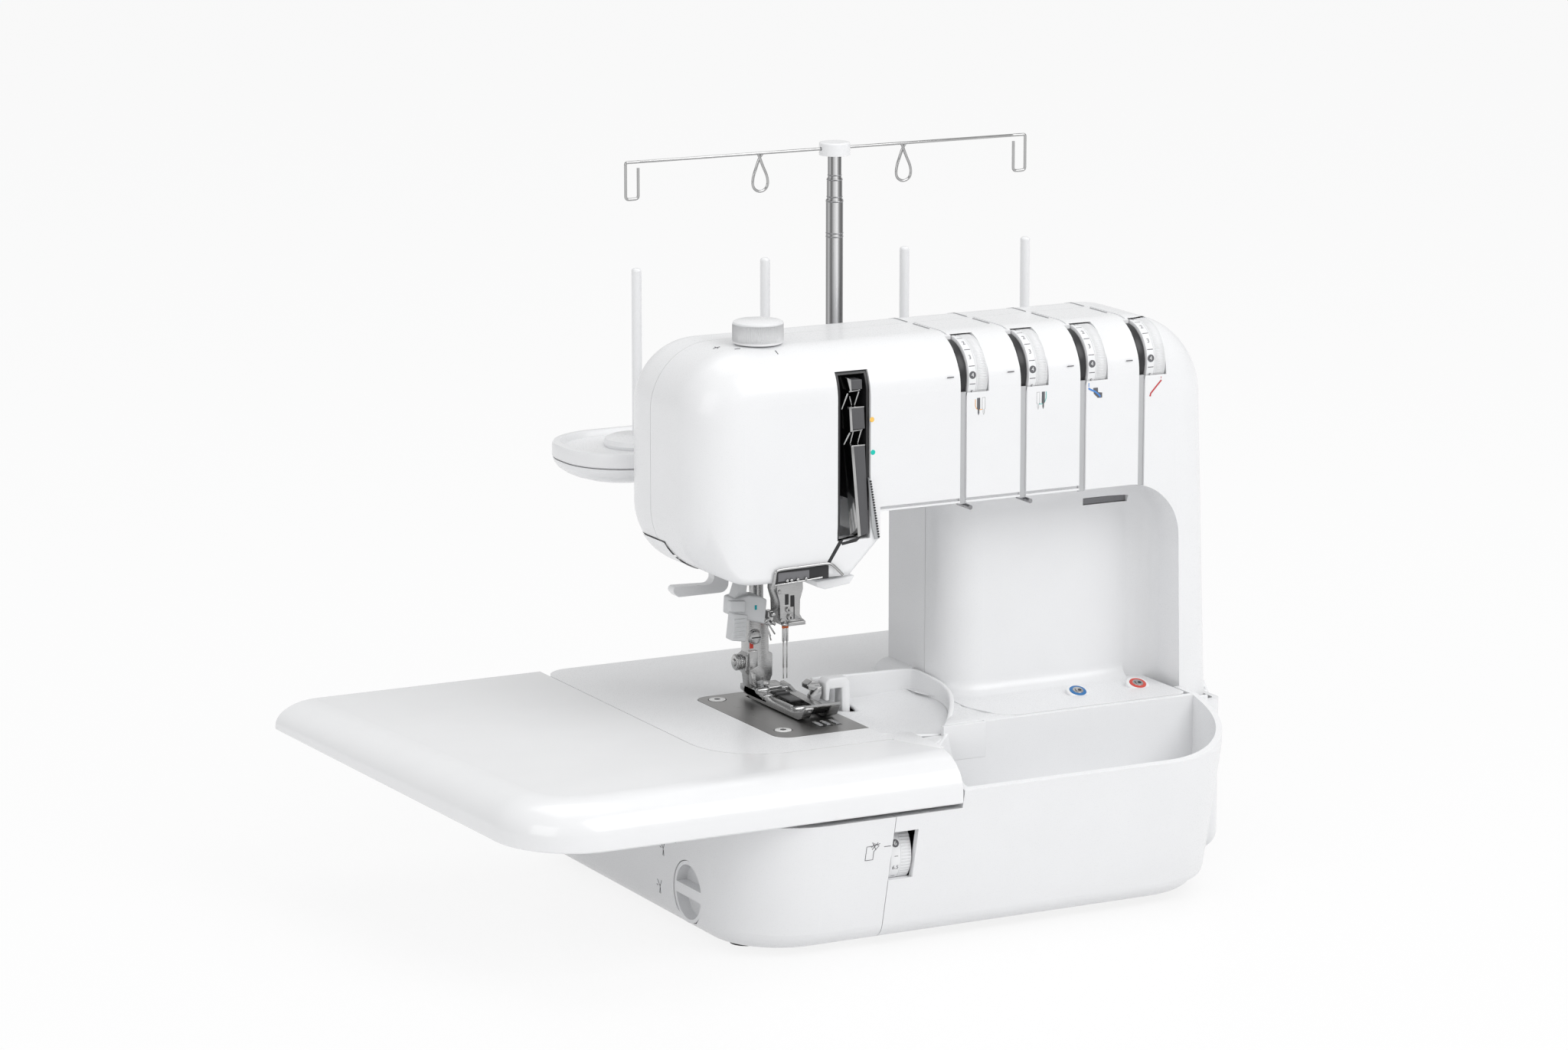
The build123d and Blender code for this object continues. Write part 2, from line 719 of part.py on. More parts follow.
# Guard that leads trimmings into the bin
guard_bends = [(-2, -34), (-12, -58), (-26, -71)]
with BuildPart() as scrap_guard:
    with BuildSketch(Plane.XY.offset(bed_top - 18)):
        with BuildLine():
            run = FilletPolyline(
                (guard_left, deck_front - 1.6), (-1, deck_front - 1.6), *guard_bends,
                radius=[12, 20, 12],
            )
            offset(run, amount=1.25, side=Side.BOTH)
        make_face()
    extrude(amount=26)
    prism(
        [(guard_left - 2, deck_front - 1), (-1, deck_front - 1), *guard_bends, (guard_left - 2, -71)],
        0, bed_top - 18, bed_top - 15.5,
    )
    side_prism([(-45, 200), (-5, 112.2), (-38, 103), (-110, 95), (-110, 200)], 0, -100, 100, Mode.SUBTRACT)
finish(scrap_guard, "scrap_guard")

# Cast frame inside the covers
beam_front = 26.0
beam_back = 40.0
boss_back = 32.0
boss_low = 206.0
with BuildPart() as frame_casting:
    slab(-140, 150, 50, 66, pan_top, 30)
    slab(60, 90, 24, 66, pan_top, 30)
    slab(60, 90, beam_front - 2, beam_back, pan_top, 285)
    slab(-116, axle_right, beam_front, beam_back, 262, 285)
    # Bosses for the needle bar and the presser bar
    slab(-112, -54, 2, beam_back, 264, 285)
    slab(-112, -63, 2, boss_back, boss_low, boss_low + 12)
    slab(-112, -106, 2, boss_back, boss_low, 285)
    # Shaft supports
    slab(-20, -10, main_y - 12, 66, pan_top, 84)
    slab(120, 128, main_y - 12, 66, pan_top, 88)
    slab(-46, -38, upper_y - 10, beam_front + 6, upper_z - 12, 285)
    slab(82, 90, upper_y - 10, beam_back, upper_z - 12, 285)
    # Ears of the tension axle
    for x in (axle_left, axle_right):
        slab(x - 4, x + 4, dial_y - 6, beam_front + 3, dial_z - 10, dial_z + 6)
    # Looper and knife supports
    slab(-96, -10, 24, 32, pan_top, 62)
    slab(-52, -20, knife_front - 4, knife_back + 4, 64, 78)
    slab(-62, -54, knife_front, knife_back, pan_top, 62)
    slab(-62, -54, knife_front, 24, pan_top, 14)
    rod_z(190, 290, needle_x, needle_y, needle_bar_radius + shaft_fit, Mode.SUBTRACT)
    rod_z(190, 290, presser_x, presser_y, presser_radius + shaft_fit, Mode.SUBTRACT)
    rod_z(190, 262, threader_x, threader_y, threader_rod + shaft_fit, Mode.SUBTRACT)
    rod_x(-24, 132, main_y, main_z, shaft_radius + shaft_fit, Mode.SUBTRACT)
    rod_x(-50, 94, upper_y, upper_z, shaft_radius + shaft_fit, Mode.SUBTRACT)
    rod_x(axle_left, axle_right, dial_y, dial_z, dial_axle_radius, Mode.SUBTRACT)
    slab(-46 - shaft_fit, -40 + shaft_fit, knife_front - shaft_fit, knife_back + shaft_fit, 60, 80, Mode.SUBTRACT)
    for x in looper_xs:
        rod_y(8, 26, x, looper_z, looper_pin)
    rod_y(boss_back - 2, arm_back + 9, lifter_x, lifter_z, lifter_pin)
finish(frame_casting, "frame_casting")

def pulley_run(x0, a, b, extra):
    """Belt path round two pulleys, given as y, z and radius."""
    with BuildSketch(Plane.YZ.offset(x0)) as track:
        with Locations(a[:2]):
            Circle(a[2] + extra)
        with Locations(b[:2]):
            Circle(b[2] + extra)
        make_hull()
    return track.sketch


def belt_loop(x0, x1, a, b):
    """Closed belt round two pulleys."""
    extrude(pulley_run(x0, a, b, belt_gap + belt_thickness), amount=x1 - x0)
    extrude(pulley_run(x0, a, b, belt_gap), amount=x1 - x0, mode=Mode.SUBTRACT)


with BuildPart() as main_shaft:
    rod_x(-20, wheel_left + 10, main_y, main_z, shaft_radius)
    rod_x(timing_left, timing_right, main_y, main_z, timing_radius)
    rod_x(drive_left, drive_right, main_y, main_z, big_pulley_radius)
finish(main_shaft, "main_shaft")

with BuildPart() as handwheel:
    rod_x(wheel_left, wheel_left + wheel_width, main_y, main_z, wheel_radius)
    fillet(handwheel.edges().filter_by(GeomType.CIRCLE), 4)
    rod_x(wheel_left - 1, wheel_left + 10, main_y, main_z, shaft_radius, Mode.SUBTRACT)
    rod_x(wheel_left + wheel_width - 5, wheel_left + wheel_width + 1, main_y, main_z, wheel_radius - 9, Mode.SUBTRACT)
finish(handwheel, "handwheel")

with BuildPart() as upper_shaft:
    rod_x(-58, timing_right + 2, upper_y, upper_z, shaft_radius)
    rod_x(timing_left, timing_right, upper_y, upper_z, timing_radius)
    rod_x(-58, -50, upper_y, upper_z, 11)
finish(upper_shaft, "upper_shaft")

with BuildPart() as timing_belt:
    belt_loop(timing_left + 1, timing_right - 1, (main_y, main_z, timing_radius), (upper_y, upper_z, timing_radius))
finish(timing_belt, "timing_belt")

with BuildPart() as drive_motor:
    rod_x(20, 110, motor_y, motor_z, motor_radius)
    slab(24, 106, motor_y - 16, motor_y + 16, pan_top, motor_z)
    rod_x(18, 112, motor_y, motor_z, 4 + shaft_fit, Mode.SUBTRACT)
finish(drive_motor, "drive_motor")

with BuildPart() as motor_pulley:
    rod_x(24, drive_right, motor_y, motor_z, 4)
    rod_x(drive_left, drive_right, motor_y, motor_z, small_pulley_radius)
finish(motor_pulley, "motor_pulley")

with BuildPart() as motor_belt:
    belt_loop(
        drive_left + 1, drive_right - 1, (main_y, main_z, big_pulley_radius),
        (motor_y, motor_z, small_pulley_radius),
    )
finish(motor_belt, "motor_belt")

with BuildPart() as circuit_board:
    slab(-120, -40, 72, 118, 12, 13.6)
    for x, y in ((-112, 78), (-48, 78), (-112, 112), (-48, 112)):
        rod_z(pan_top, 12, x, y, 3)
    slab(-100, -80, 84, 108, 13.6, 24)
    slab(-70, -56, 90, 102, 13.6, 30)
finish(circuit_board, "circuit_board")

# Needle group
with BuildPart() as needle_bar:
    rod_z(clamp_top, 291, needle_x, needle_y, needle_bar_radius)
finish(needle_bar, "needle_bar")

with BuildPart() as needle_clamp:
    prism(round_plate(needle_x - 8, needle_x + 8, needle_y - 6, needle_y + 6), 3, clamp_bottom, clamp_top)
    chamfer(needle_clamp.faces().sort_by(Axis.Z)[0].edges(), 2)
    rod_y(needle_y - 9, needle_y - 6, needle_x - 3, clamp_bottom + 8, 2.4)
    rod_y(needle_y - 9, needle_y - 6, needle_x + 4, clamp_bottom + 12, 2.4)
finish(needle_clamp, "needle_clamp")

with BuildPart() as needles:
    for side in (-0.5, 0.5):
        x = needle_x + side * needle_spacing
        rod_z(needle_tip + 8, clamp_bottom, x, needle_y, 0.75)
        with Locations((x, needle_y, needle_tip + 4)):
            Cone(0.15, 0.75, 8)
finish(needles, "needles")

# Presser group
with BuildPart() as presser_bar:
    rod_z(ankle_top, 292, presser_x, presser_y, presser_radius)
    rod_z(collar_z, collar_z + 4, presser_x, presser_y, presser_radius + 3.4)
finish(presser_bar, "presser_bar")

with BuildPart() as presser_spring:
    with BuildLine() as coil:
        Helix(pitch=4, height=20, radius=spring_radius, center=(presser_x, presser_y, collar_z + 4.9))
    with BuildSketch(Plane(coil.line @ 0, z_dir=coil.line % 0)):
        Circle(0.8)
    sweep(path=coil.line)
finish(presser_spring, "presser_spring")

with BuildPart() as presser_ankle:
    prism(round_plate(presser_x - 6, presser_x + 6, presser_y - 6, presser_y + 6), 2, hook_z + 4.6, ankle_top)
    slab(presser_x - 6, presser_x - 2.4, presser_y - 5, presser_y + 5, hook_z - 3, hook_z + 4.6)
    slab(presser_x + 2.4, presser_x + 6, presser_y - 5, presser_y + 5, hook_z - 3, hook_z + 4.6)
    rod_x(presser_x - 6, presser_x + 6, presser_y, hook_z, 1.5)
finish(presser_ankle, "presser_ankle")

sole = bed_top + seam_gap
with BuildPart() as presser_foot:
    side_prism(
        [(toe_y, sole + 4), (toe_y + 5, sole), (presser_y - 2, sole), (presser_y + 12, sole + 3),
         (presser_y + 12, sole + 4.6), (toe_y + 12, sole + 4), (toe_y, sole + 6)],
        0, presser_x - 4, needle_x + 9,
    )
    slab(presser_x - 2, presser_x + 2, presser_y - 4, presser_y + 4, sole + 4, hook_z)
    rod_x(presser_x - 2, presser_x + 2, presser_y, hook_z, 4)
    rod_x(presser_x - 7, presser_x + 7, presser_y, hook_z, 1.5 + shaft_fit, Mode.SUBTRACT)
    slab(needle_x - 4, needle_x + 5, needle_y - 7, needle_y + 6, sole - 1, sole + 9, Mode.SUBTRACT)
finish(presser_foot, "presser_foot")

with BuildPart() as foot_lifter:
    lever = [
        (lifter_x + 4, lifter_z),
        (lifter_x + 3, tab_bottom),
        (tab_left + 3, tab_bottom),
        (tab_left, tab_bottom + 3),
        (tab_left, tab_bottom + 6),
        (lifter_x - 6, tab_bottom + 5),
        (lifter_x - 4, lifter_z),
    ]
    front_prism(lever, [1, 5, 2, 2, 2, 4, 1], arm_back + 1.2, arm_back + 8.2)
    rod_y(arm_back + 1.2, arm_back + 8.2, lifter_x, lifter_z, lifter_pin + 3)
    rod_y(arm_back, arm_back + 10, lifter_x, lifter_z, lifter_pin + shaft_fit, Mode.SUBTRACT)
finish(foot_lifter, "foot_lifter")

with BuildPart() as needle_threader:
    rod_z(168, 232, threader_x, threader_y, threader_rod)
    prism(round_plate(threader_x - 8, threader_x + 6, threader_y - 8, threader_y + 8), 4, 138, 170)
finish(needle_threader, "needle_threader")

# Stitch-forming pieces under the bed
with BuildPart() as lower_looper:
    front_prism(
        [(looper_xs[0] - 6, looper_z), (looper_xs[0] - 8, 78), (looper_xs[0] - 26, 84), (looper_xs[0] - 26, 81),
         (looper_xs[0] - 2, 70), (looper_xs[0] + 6, looper_z)],
        0, 11, 14,
    )
    rod_y(11, 22, looper_xs[0], looper_z, 7)
    rod_y(8, 24, looper_xs[0], looper_z, looper_pin + shaft_fit, Mode.SUBTRACT)
finish(lower_looper, "lower_looper")

with BuildPart() as upper_looper:
    front_prism(
        [(looper_xs[1] - 6, looper_z), (looper_xs[1] - 5, 74), (looper_xs[1] - 14, 84), (looper_xs[1] - 10, 85),
         (looper_xs[1] + 3, 72), (looper_xs[1] + 6, looper_z)],
        0, 16, 20,
    )
    rod_y(11, 22, looper_xs[1], looper_z, 7)
    rod_y(8, 24, looper_xs[1], looper_z, looper_pin + shaft_fit, Mode.SUBTRACT)
finish(upper_looper, "upper_looper")

with BuildPart() as feed_dogs:
    for x in feed_xs:
        slab(x - 1.6, x + 1.6, feed_front, feed_back, 90, bed_top + 0.2)
    slab(feed_xs[0] - 1.6, feed_xs[-1] + 1.6, feed_back - 8, feed_back, 88, 97)
finish(feed_dogs, "feed_dogs")

with BuildPart() as lower_knife:
    slab(bed_right + 0.3, bed_right + 2.6, knife_front, knife_back, 62, bed_top)
finish(lower_knife, "lower_knife")

with BuildPart() as upper_knife:
    slab(bed_right + 3, bed_right + 5.5, knife_front, knife_back, bed_top - 2, 122)
    slab(bed_right + 3, -40, knife_front, knife_back, 113, 122)
    slab(-46, -40, knife_front, knife_back, 56, 122)
finish(upper_knife, "upper_knife")

# Controls
with BuildPart() as cutting_width_dial:
    rod_x(cover_left + 1, width_right - 0.5, width_y, width_z, width_radius)
    rod_x(cover_left, width_right, width_y, width_z, width_axle + shaft_fit, Mode.SUBTRACT)
finish(cutting_width_dial, "cutting_width_dial")

with BuildPart() as knife_knob:
    rod_x(base_left + 0.5, base_left + 12, knife_y, knife_z, knife_radius)
    rod_x(base_left + 12, base_left + 24, knife_y, knife_z, knife_stem)
    for side in (-1, 1):
        with BuildSketch(Plane.YZ.offset(base_left)):
            with Locations((knife_y, knife_z)):
                Circle(knife_radius - 2)
                with Locations((0, -side * (knife_radius - 3))):
                    Rectangle(2 * knife_radius, 2 * knife_radius, mode=Mode.SUBTRACT)
        extrude(amount=7, mode=Mode.SUBTRACT)
finish(knife_knob, "knife_knob")

side_names = ("stitch_length_dial", "differential_dial")
for name, spot in zip(side_names, side_dial_spots):
    with BuildPart() as side_dial:
        rod_x(body_right + run_gap, body_right + 11, spot[0], spot[1], side_dial_radius)
        fillet(side_dial.faces().sort_by(Axis.X)[-1].edges(), 2)
        rod_x(body_right - 8, body_right + 2, spot[0], spot[1], side_dial_stem)
    finish(side_dial, name)

with BuildPart() as power_switch:
    rocker = [(body_right - 6, 30), (body_right + 2.4, 28.6), (body_right + 1.6, switch_z),
              (body_right + 2.4, 43.4), (body_right - 6, 42)]
    front_prism(rocker, 0, switch_y - 5.5, switch_y + 5.5)
    rod_y(switch_y - 6, switch_y + 6, body_right - 5, switch_z, 1.5 + shaft_fit, Mode.SUBTRACT)
finish(power_switch, "power_switch")

with BuildPart() as power_inlet:
    slab(body_right, body_right + panel_thickness, switch_y - 10, inlet_y + 17, 20, 52)
    fillet(power_inlet.edges().filter_by(Axis.X), 4)
    slab(body_right - 22, body_right, inlet_y - 14 + 0.1, inlet_y + 14 - 0.1, 24.1, 45.9)
    slab(body_right - 15, body_right + 3, inlet_y - 11, inlet_y + 11, 27, 43, Mode.SUBTRACT)
    for y in (-5, 5):
        slab(body_right - 16, body_right - 3, inlet_y + y - 1, inlet_y + y + 1, 33, 37)
    slab(body_right - 18, body_right, switch_y - 8 + 0.1, switch_y + 8 - 0.1, 24.1, 47.9)
    slab(body_right - 14, body_right + 3, switch_y - 6, switch_y + 6, 26, 46, Mode.SUBTRACT)
    rod_y(switch_y - 7, switch_y + 7, body_right - 5, switch_z, 1.5)
finish(power_inlet, "power_inlet")

with BuildPart() as thread_lever:
    slab(lever_x - 4.5, lever_x + 4.5, housing_front - 3, housing_front - 0.3, 81, 88)
    slab(lever_x - 2, lever_x + 2, housing_front - 0.3, housing_front + 6, 82.5, 86.5)
finish(thread_lever, "thread_lever")

# Spool stand
stand_front = arm_back + seam_gap
stand_outline = round_plate(stand_left, stand_right, stand_front, stand_front + stand_depth)
with BuildPart() as spool_tray:
    prism(stand_outline, stand_corner, stand_bottom, stand_seam)
    fillet(spool_tray.faces().sort_by(Axis.Z)[0].edges(), stand_round)
    prism(stand_outline, stand_corner, stand_bottom + 3, stand_seam + 1, Mode.SUBTRACT, inset=stand_wall)
    rod_z(stand_bottom, stand_seam, mast_x, stand_y, 11)
    rod_z(stand_bottom + 6, stand_seam + 1, mast_x, stand_y, tube_radii[0], Mode.SUBTRACT)
finish(spool_tray, "spool_tray")

with BuildPart() as spool_stand:
    prism(stand_outline, stand_corner, stand_seam + seam_gap, stand_top)
    fillet(spool_stand.faces().sort_by(Axis.Z)[-1].edges(), 2.5)
    prism(stand_outline, stand_corner, stand_seam, stand_top - 3.2, Mode.SUBTRACT, inset=stand_wall)
    for x in pin_xs:
        rod_z(stand_top - 1, stand_top + seat_height, x, stand_y, seat_radius)
        rod_z(stand_top - 6, stand_top + 20, x, stand_y, pin_radius + 0.02, Mode.SUBTRACT)
    rod_z(stand_seam, stand_top + 3, mast_x, stand_y, tube_radii[0] + 4)
    rod_z(stand_seam - 1, stand_top + 20, mast_x, stand_y, tube_radii[0], Mode.SUBTRACT)
finish(spool_stand, "spool_stand")

with BuildPart() as spool_pins:
    for x in pin_xs:
        rod_z(stand_top - 3, pin_top, x, stand_y, pin_radius)
    fillet(spool_pins.faces().sort_by(Axis.Z)[-4:].edges(), 1.6)
finish(spool_pins, "spool_pins")

tube_names = ("mast_lower", "mast_middle", "mast_upper")
tube_feet = (stand_bottom + 6, 258.0, 266.0)
for name, foot, top, radius, bore in zip(
    tube_names, tube_feet, tube_tops, tube_radii, (tube_radii[1], tube_radii[2], tube_radii[2] - 0.7)
):
    with BuildPart() as tube:
        rod_z(foot, top, mast_x, stand_y, radius)
        rod_z(foot - 1, top + 1, mast_x, stand_y, bore + tube_fit, Mode.SUBTRACT)
    finish(tube, name)

with BuildPart() as guide_hub:
    rod_z(tube_tops[2] + 0.2, tube_tops[2] + hub_height, mast_x, stand_y, hub_radius)
    fillet(guide_hub.faces().sort_by(Axis.Z)[-1].edges(), 1)
    rod_z(tube_tops[2] - 8, tube_tops[2] + 1, mast_x, stand_y, tube_radii[2] - 0.7)
    rod_x(mast_x - 20, mast_x + 20, stand_y, wire_z, wire_radius, Mode.SUBTRACT)
finish(guide_hub, "guide_hub")

with BuildPart() as guide_wire:
    rod_x(end_loop_xs[0] - 4, end_loop_xs[1] + 4, stand_y, wire_z, wire_radius)
    for x in end_loop_xs:
        with BuildSketch(Plane.XZ.offset(-stand_y - 0.9)):
            with Locations((x, wire_z - 10)):
                SlotOverall(22, 9.5, rotation=90)
                SlotOverall(22 - 4 * wire_radius, 9.5 - 4 * wire_radius, rotation=90, mode=Mode.SUBTRACT)
        extrude(amount=1.8)
    for x in drop_loop_xs:
        with BuildSketch(Plane.XZ.offset(-stand_y - 0.9)):
            for grow, mode in ((0, Mode.ADD), (2 * wire_radius, Mode.SUBTRACT)):
                with BuildSketch(mode=Mode.PRIVATE) as drop:
                    with Locations((x, wire_z - 17)):
                        Circle(5.4 - grow)
                    with Locations((x, wire_z - 2)):
                        Circle(2.3 - grow * 0.98)
                    make_hull()
                add(drop.sketch, mode=mode)
        extrude(amount=1.8)
finish(guide_wire, "guide_wire")
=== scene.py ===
import math

import bpy
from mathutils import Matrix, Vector


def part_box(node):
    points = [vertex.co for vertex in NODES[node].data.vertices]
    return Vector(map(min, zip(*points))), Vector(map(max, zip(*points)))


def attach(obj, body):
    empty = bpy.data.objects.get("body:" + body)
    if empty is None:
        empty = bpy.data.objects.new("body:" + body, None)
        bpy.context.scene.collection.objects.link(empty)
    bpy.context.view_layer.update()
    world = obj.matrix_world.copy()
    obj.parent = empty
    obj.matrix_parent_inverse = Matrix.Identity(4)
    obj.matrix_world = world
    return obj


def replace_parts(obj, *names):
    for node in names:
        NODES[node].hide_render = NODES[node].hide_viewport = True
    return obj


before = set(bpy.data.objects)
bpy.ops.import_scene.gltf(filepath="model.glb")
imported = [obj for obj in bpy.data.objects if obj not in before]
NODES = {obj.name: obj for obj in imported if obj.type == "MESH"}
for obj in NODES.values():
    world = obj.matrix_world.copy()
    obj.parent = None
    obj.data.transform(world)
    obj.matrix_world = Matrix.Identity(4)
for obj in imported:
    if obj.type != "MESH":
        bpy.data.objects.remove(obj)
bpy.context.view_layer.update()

bl_info = {
    "name": "Overlock machine finish",
    "version": (1, 0, 0),
    "blender": (4, 5, 0),
    "location": "View3D > Sidebar > Overlock",
    "description": "Finishes, small fittings and printed marks of an overlock sewing machine",
    "category": "Object",
}

MM = 0.001
FRONT = (math.pi / 2, 0, 0)
LEFT = (math.pi / 2, 0, -math.pi / 2)
TOP = (0, 0, 0)
SLOTS = (1.5, 39.2, 76.9, 114.6)
FACE = -54.5
WIRE_DROPS = (-50.5, 40.6)
SPOOL_XS = (-127.5, -47.5, 41.5, 120.5)
MAST = (-3.5, 85.5)
FEED_XS = (-80.6, -76.0, -70.4)
NEEDLE_Y = 11.5
ALONG = (1, 0, 0)
BACK = (0, 1, 0)
DOWN = (0, 0, -1)
ABOVE = 360


def colour_setting(name, description, default):
    return bpy.props.FloatVectorProperty(name=name, description=description, subtype="COLOR", size=3, default=default)


class FinishSettings(bpy.types.PropertyGroup):
    """Colours of the mouldings, metals and printed marks."""

    moulding: colour_setting("Moulding", "White of the covers", (0.83, 0.835, 0.845))
    shade: colour_setting("Shaded moulding", "Grey of inner mouldings", (0.52, 0.53, 0.55))
    plate: colour_setting("Needle plate", "Brushed steel of the needle plate", (0.36, 0.355, 0.35))
    steel: colour_setting("Steel", "Bright steel of foot and clamp", (0.44, 0.44, 0.44))
    chrome: colour_setting("Chrome", "Polished guides and mast rings", (0.3, 0.3, 0.31))
    edge: colour_setting("Polished steel", "Bright edges, wires and screws", (0.46, 0.46, 0.46))
    black: colour_setting("Black", "Dark plastic and slots", (0.018, 0.018, 0.02))
    ink: colour_setting("Ink", "Dark printed marks", (0.12, 0.12, 0.13))


class DetailSettings(bpy.types.PropertyGroup):
    """Sizes of the dials' ribs."""

    dial_ribs: bpy.props.IntProperty(name="Dial ribs", description="Ribs round a tension dial", default=72)
    rib_depth: bpy.props.FloatProperty(
        name="Rib depth", description="Depth of the grooves between ribs", default=0.35 * MM, unit="LENGTH")


class StudioSettings(bpy.types.PropertyGroup):
    """Camera and lamps of the plain studio."""

    lens: bpy.props.FloatProperty(name="Lens", description="Focal length in millimetres", default=123.05)
    azimuth: bpy.props.FloatProperty(
        name="Azimuth", description="Turn of the camera to the left", default=math.radians(27.6), subtype="ANGLE")
    elevation: bpy.props.FloatProperty(
        name="Elevation", description="Height angle of the camera", default=math.radians(11.8), subtype="ANGLE")
    key: bpy.props.FloatProperty(name="Key lamp", description="Power of the main soft box in watts", default=46.0)
    fill: bpy.props.FloatProperty(name="Fill lamp", description="Power of the side soft box in watts", default=16.0)
    sky: bpy.props.FloatProperty(name="Sky", description="Strength of the even light", default=0.62)


def finish_of():
    return bpy.context.scene.overlock_finish


def detail_of():
    return bpy.context.scene.overlock_detail


# Shared node groups


def connect(tree, *pairs):
    """Links sockets, each pair an output and the input that it feeds."""
    for source, target in pairs:
        tree.links.new(source, target)


def node_group(name, inputs, outputs):
    """A new group with its sockets, its two ends and the Object coordinates, all by name."""
    group = bpy.data.node_groups.new(name, "ShaderNodeTree")
    for label, kind, value in inputs:
        group.interface.new_socket(label, in_out="INPUT", socket_type="NodeSocket" + kind).default_value = value
    for label, kind in outputs:
        group.interface.new_socket(label, in_out="OUTPUT", socket_type="NodeSocket" + kind)
    entry = group.nodes.new("NodeGroupInput").outputs
    leave = group.nodes.new("NodeGroupOutput").inputs
    return group, entry, leave, group.nodes.new("ShaderNodeTexCoord").outputs["Object"]


def noise(tree, detail):
    node = tree.nodes.new("ShaderNodeTexNoise")
    node.inputs["Detail"].default_value = detail
    return node


def bump_of(tree, distance):
    node = tree.nodes.new("ShaderNodeBump")
    node.inputs["Distance"].default_value = distance
    return node


def grain_group():
    """Soft mottling, fine grain and a bumped normal for moulded and cast surfaces."""
    name = "moulded_grain"
    if name in bpy.data.node_groups:
        return bpy.data.node_groups[name]
    group, entry, leave, where = node_group(
        name, (("Mottle Scale", "Float", 30.0), ("Grain Scale", "Float", 2200.0), ("Bump", "Float", 0.05)),
        (("Mottle", "Float"), ("Grain", "Float"), ("Normal", "Vector")))
    mottle, grain, bump = noise(group, 3.0), noise(group, 2.0), bump_of(group, 0.0002)
    connect(group, (where, mottle.inputs["Vector"]), (where, grain.inputs["Vector"]),
            (entry["Mottle Scale"], mottle.inputs["Scale"]), (entry["Grain Scale"], grain.inputs["Scale"]),
            (entry["Bump"], bump.inputs["Strength"]), (grain.outputs["Fac"], bump.inputs["Height"]),
            (mottle.outputs["Fac"], leave["Mottle"]), (grain.outputs["Fac"], leave["Grain"]),
            (bump.outputs["Normal"], leave["Normal"]))
    return group


def brush_group():
    """Long fine scratches along one direction, for brushed and ground steel."""
    name = "brushed_lines"
    if name in bpy.data.node_groups:
        return bpy.data.node_groups[name]
    group, entry, leave, where = node_group(
        name, (("Stretch", "Vector", (60.0, 2500.0, 2500.0)), ("Bump", "Float", 0.15)),
        (("Lines", "Float"), ("Normal", "Vector")))
    scale = group.nodes.new("ShaderNodeVectorMath")
    scale.operation = "MULTIPLY"
    lines, bump = noise(group, 4.0), bump_of(group, 0.0001)
    lines.inputs["Scale"].default_value = 1.0
    connect(group, (where, scale.inputs[0]), (entry["Stretch"], scale.inputs[1]),
            (scale.outputs["Vector"], lines.inputs["Vector"]), (entry["Bump"], bump.inputs["Strength"]),
            (lines.outputs["Fac"], bump.inputs["Height"]), (lines.outputs["Fac"], leave["Lines"]),
            (bump.outputs["Normal"], leave["Normal"]))
    return group


def new_material(name):
    """An empty node material with its shader, or the one made before."""
    if name in bpy.data.materials:
        return bpy.data.materials[name], None, None
    material = bpy.data.materials.new(name)
    material.use_nodes = True
    material.node_tree.nodes.clear()
    nodes = material.node_tree.nodes
    shader = nodes.new("ShaderNodeBsdfPrincipled")
    output = nodes.new("ShaderNodeOutputMaterial")
    material.node_tree.links.new(shader.outputs["BSDF"], output.inputs["Surface"])
    return material, shader, material.node_tree


def tint(tree, factor, low, high):
    """Two colours mixed by a pattern."""
    mix = tree.nodes.new("ShaderNodeMix")
    mix.data_type = "RGBA"
    mix.inputs["A"].default_value = (*low, 1.0)
    mix.inputs["B"].default_value = (*high, 1.0)
    tree.links.new(factor, mix.inputs["Factor"])
    return mix.outputs["Result"]


def spread(tree, factor, low, high):
    """A pattern stretched between two values."""
    band = tree.nodes.new("ShaderNodeMapRange")
    band.inputs["From Min"].default_value = 0.3
    band.inputs["From Max"].default_value = 0.7
    band.inputs["To Min"].default_value = low
    band.inputs["To Max"].default_value = high
    tree.links.new(factor, band.inputs["Value"])
    return band.outputs["Result"]


def moulded(name, colour, rough, bump=0.05, coat=0.0, grain=2200.0):
    """Moulded plastic or rubber with a faint mottling and grain."""
    material, shader, tree = new_material(name)
    if shader is None:
        return material
    group = tree.nodes.new("ShaderNodeGroup")
    group.node_tree = grain_group()
    group.inputs["Grain Scale"].default_value = grain
    group.inputs["Bump"].default_value = bump
    dark = tuple(part * 0.975 for part in colour)
    light = tuple(min(1.0, part * 1.02) for part in colour)
    connect(tree, (tint(tree, group.outputs["Mottle"], dark, light), shader.inputs["Base Color"]),
            (spread(tree, group.outputs["Grain"], rough - 0.04, rough + 0.05), shader.inputs["Roughness"]),
            (group.outputs["Normal"], shader.inputs["Normal"]))
    shader.inputs["IOR"].default_value = 1.48
    shader.inputs["Coat Weight"].default_value = coat
    shader.inputs["Coat Roughness"].default_value = 0.12
    return material


def metal(name, colour, rough, stretch=(60.0, 2500.0, 2500.0), bump=0.15, contrast=0.18):
    """Steel with lines along one direction."""
    material, shader, tree = new_material(name)
    if shader is None:
        return material
    group = tree.nodes.new("ShaderNodeGroup")
    group.node_tree = brush_group()
    group.inputs["Stretch"].default_value = stretch
    group.inputs["Bump"].default_value = bump
    dark = tuple(part * (1 - contrast) for part in colour)
    light = tuple(min(1.0, part * (1 + contrast)) for part in colour)
    connect(tree, (tint(tree, group.outputs["Lines"], dark, light), shader.inputs["Base Color"]),
            (spread(tree, group.outputs["Lines"], rough * 0.8, rough * 1.25), shader.inputs["Roughness"]),
            (group.outputs["Normal"], shader.inputs["Normal"]))
    shader.inputs["Metallic"].default_value = 1.0
    return material


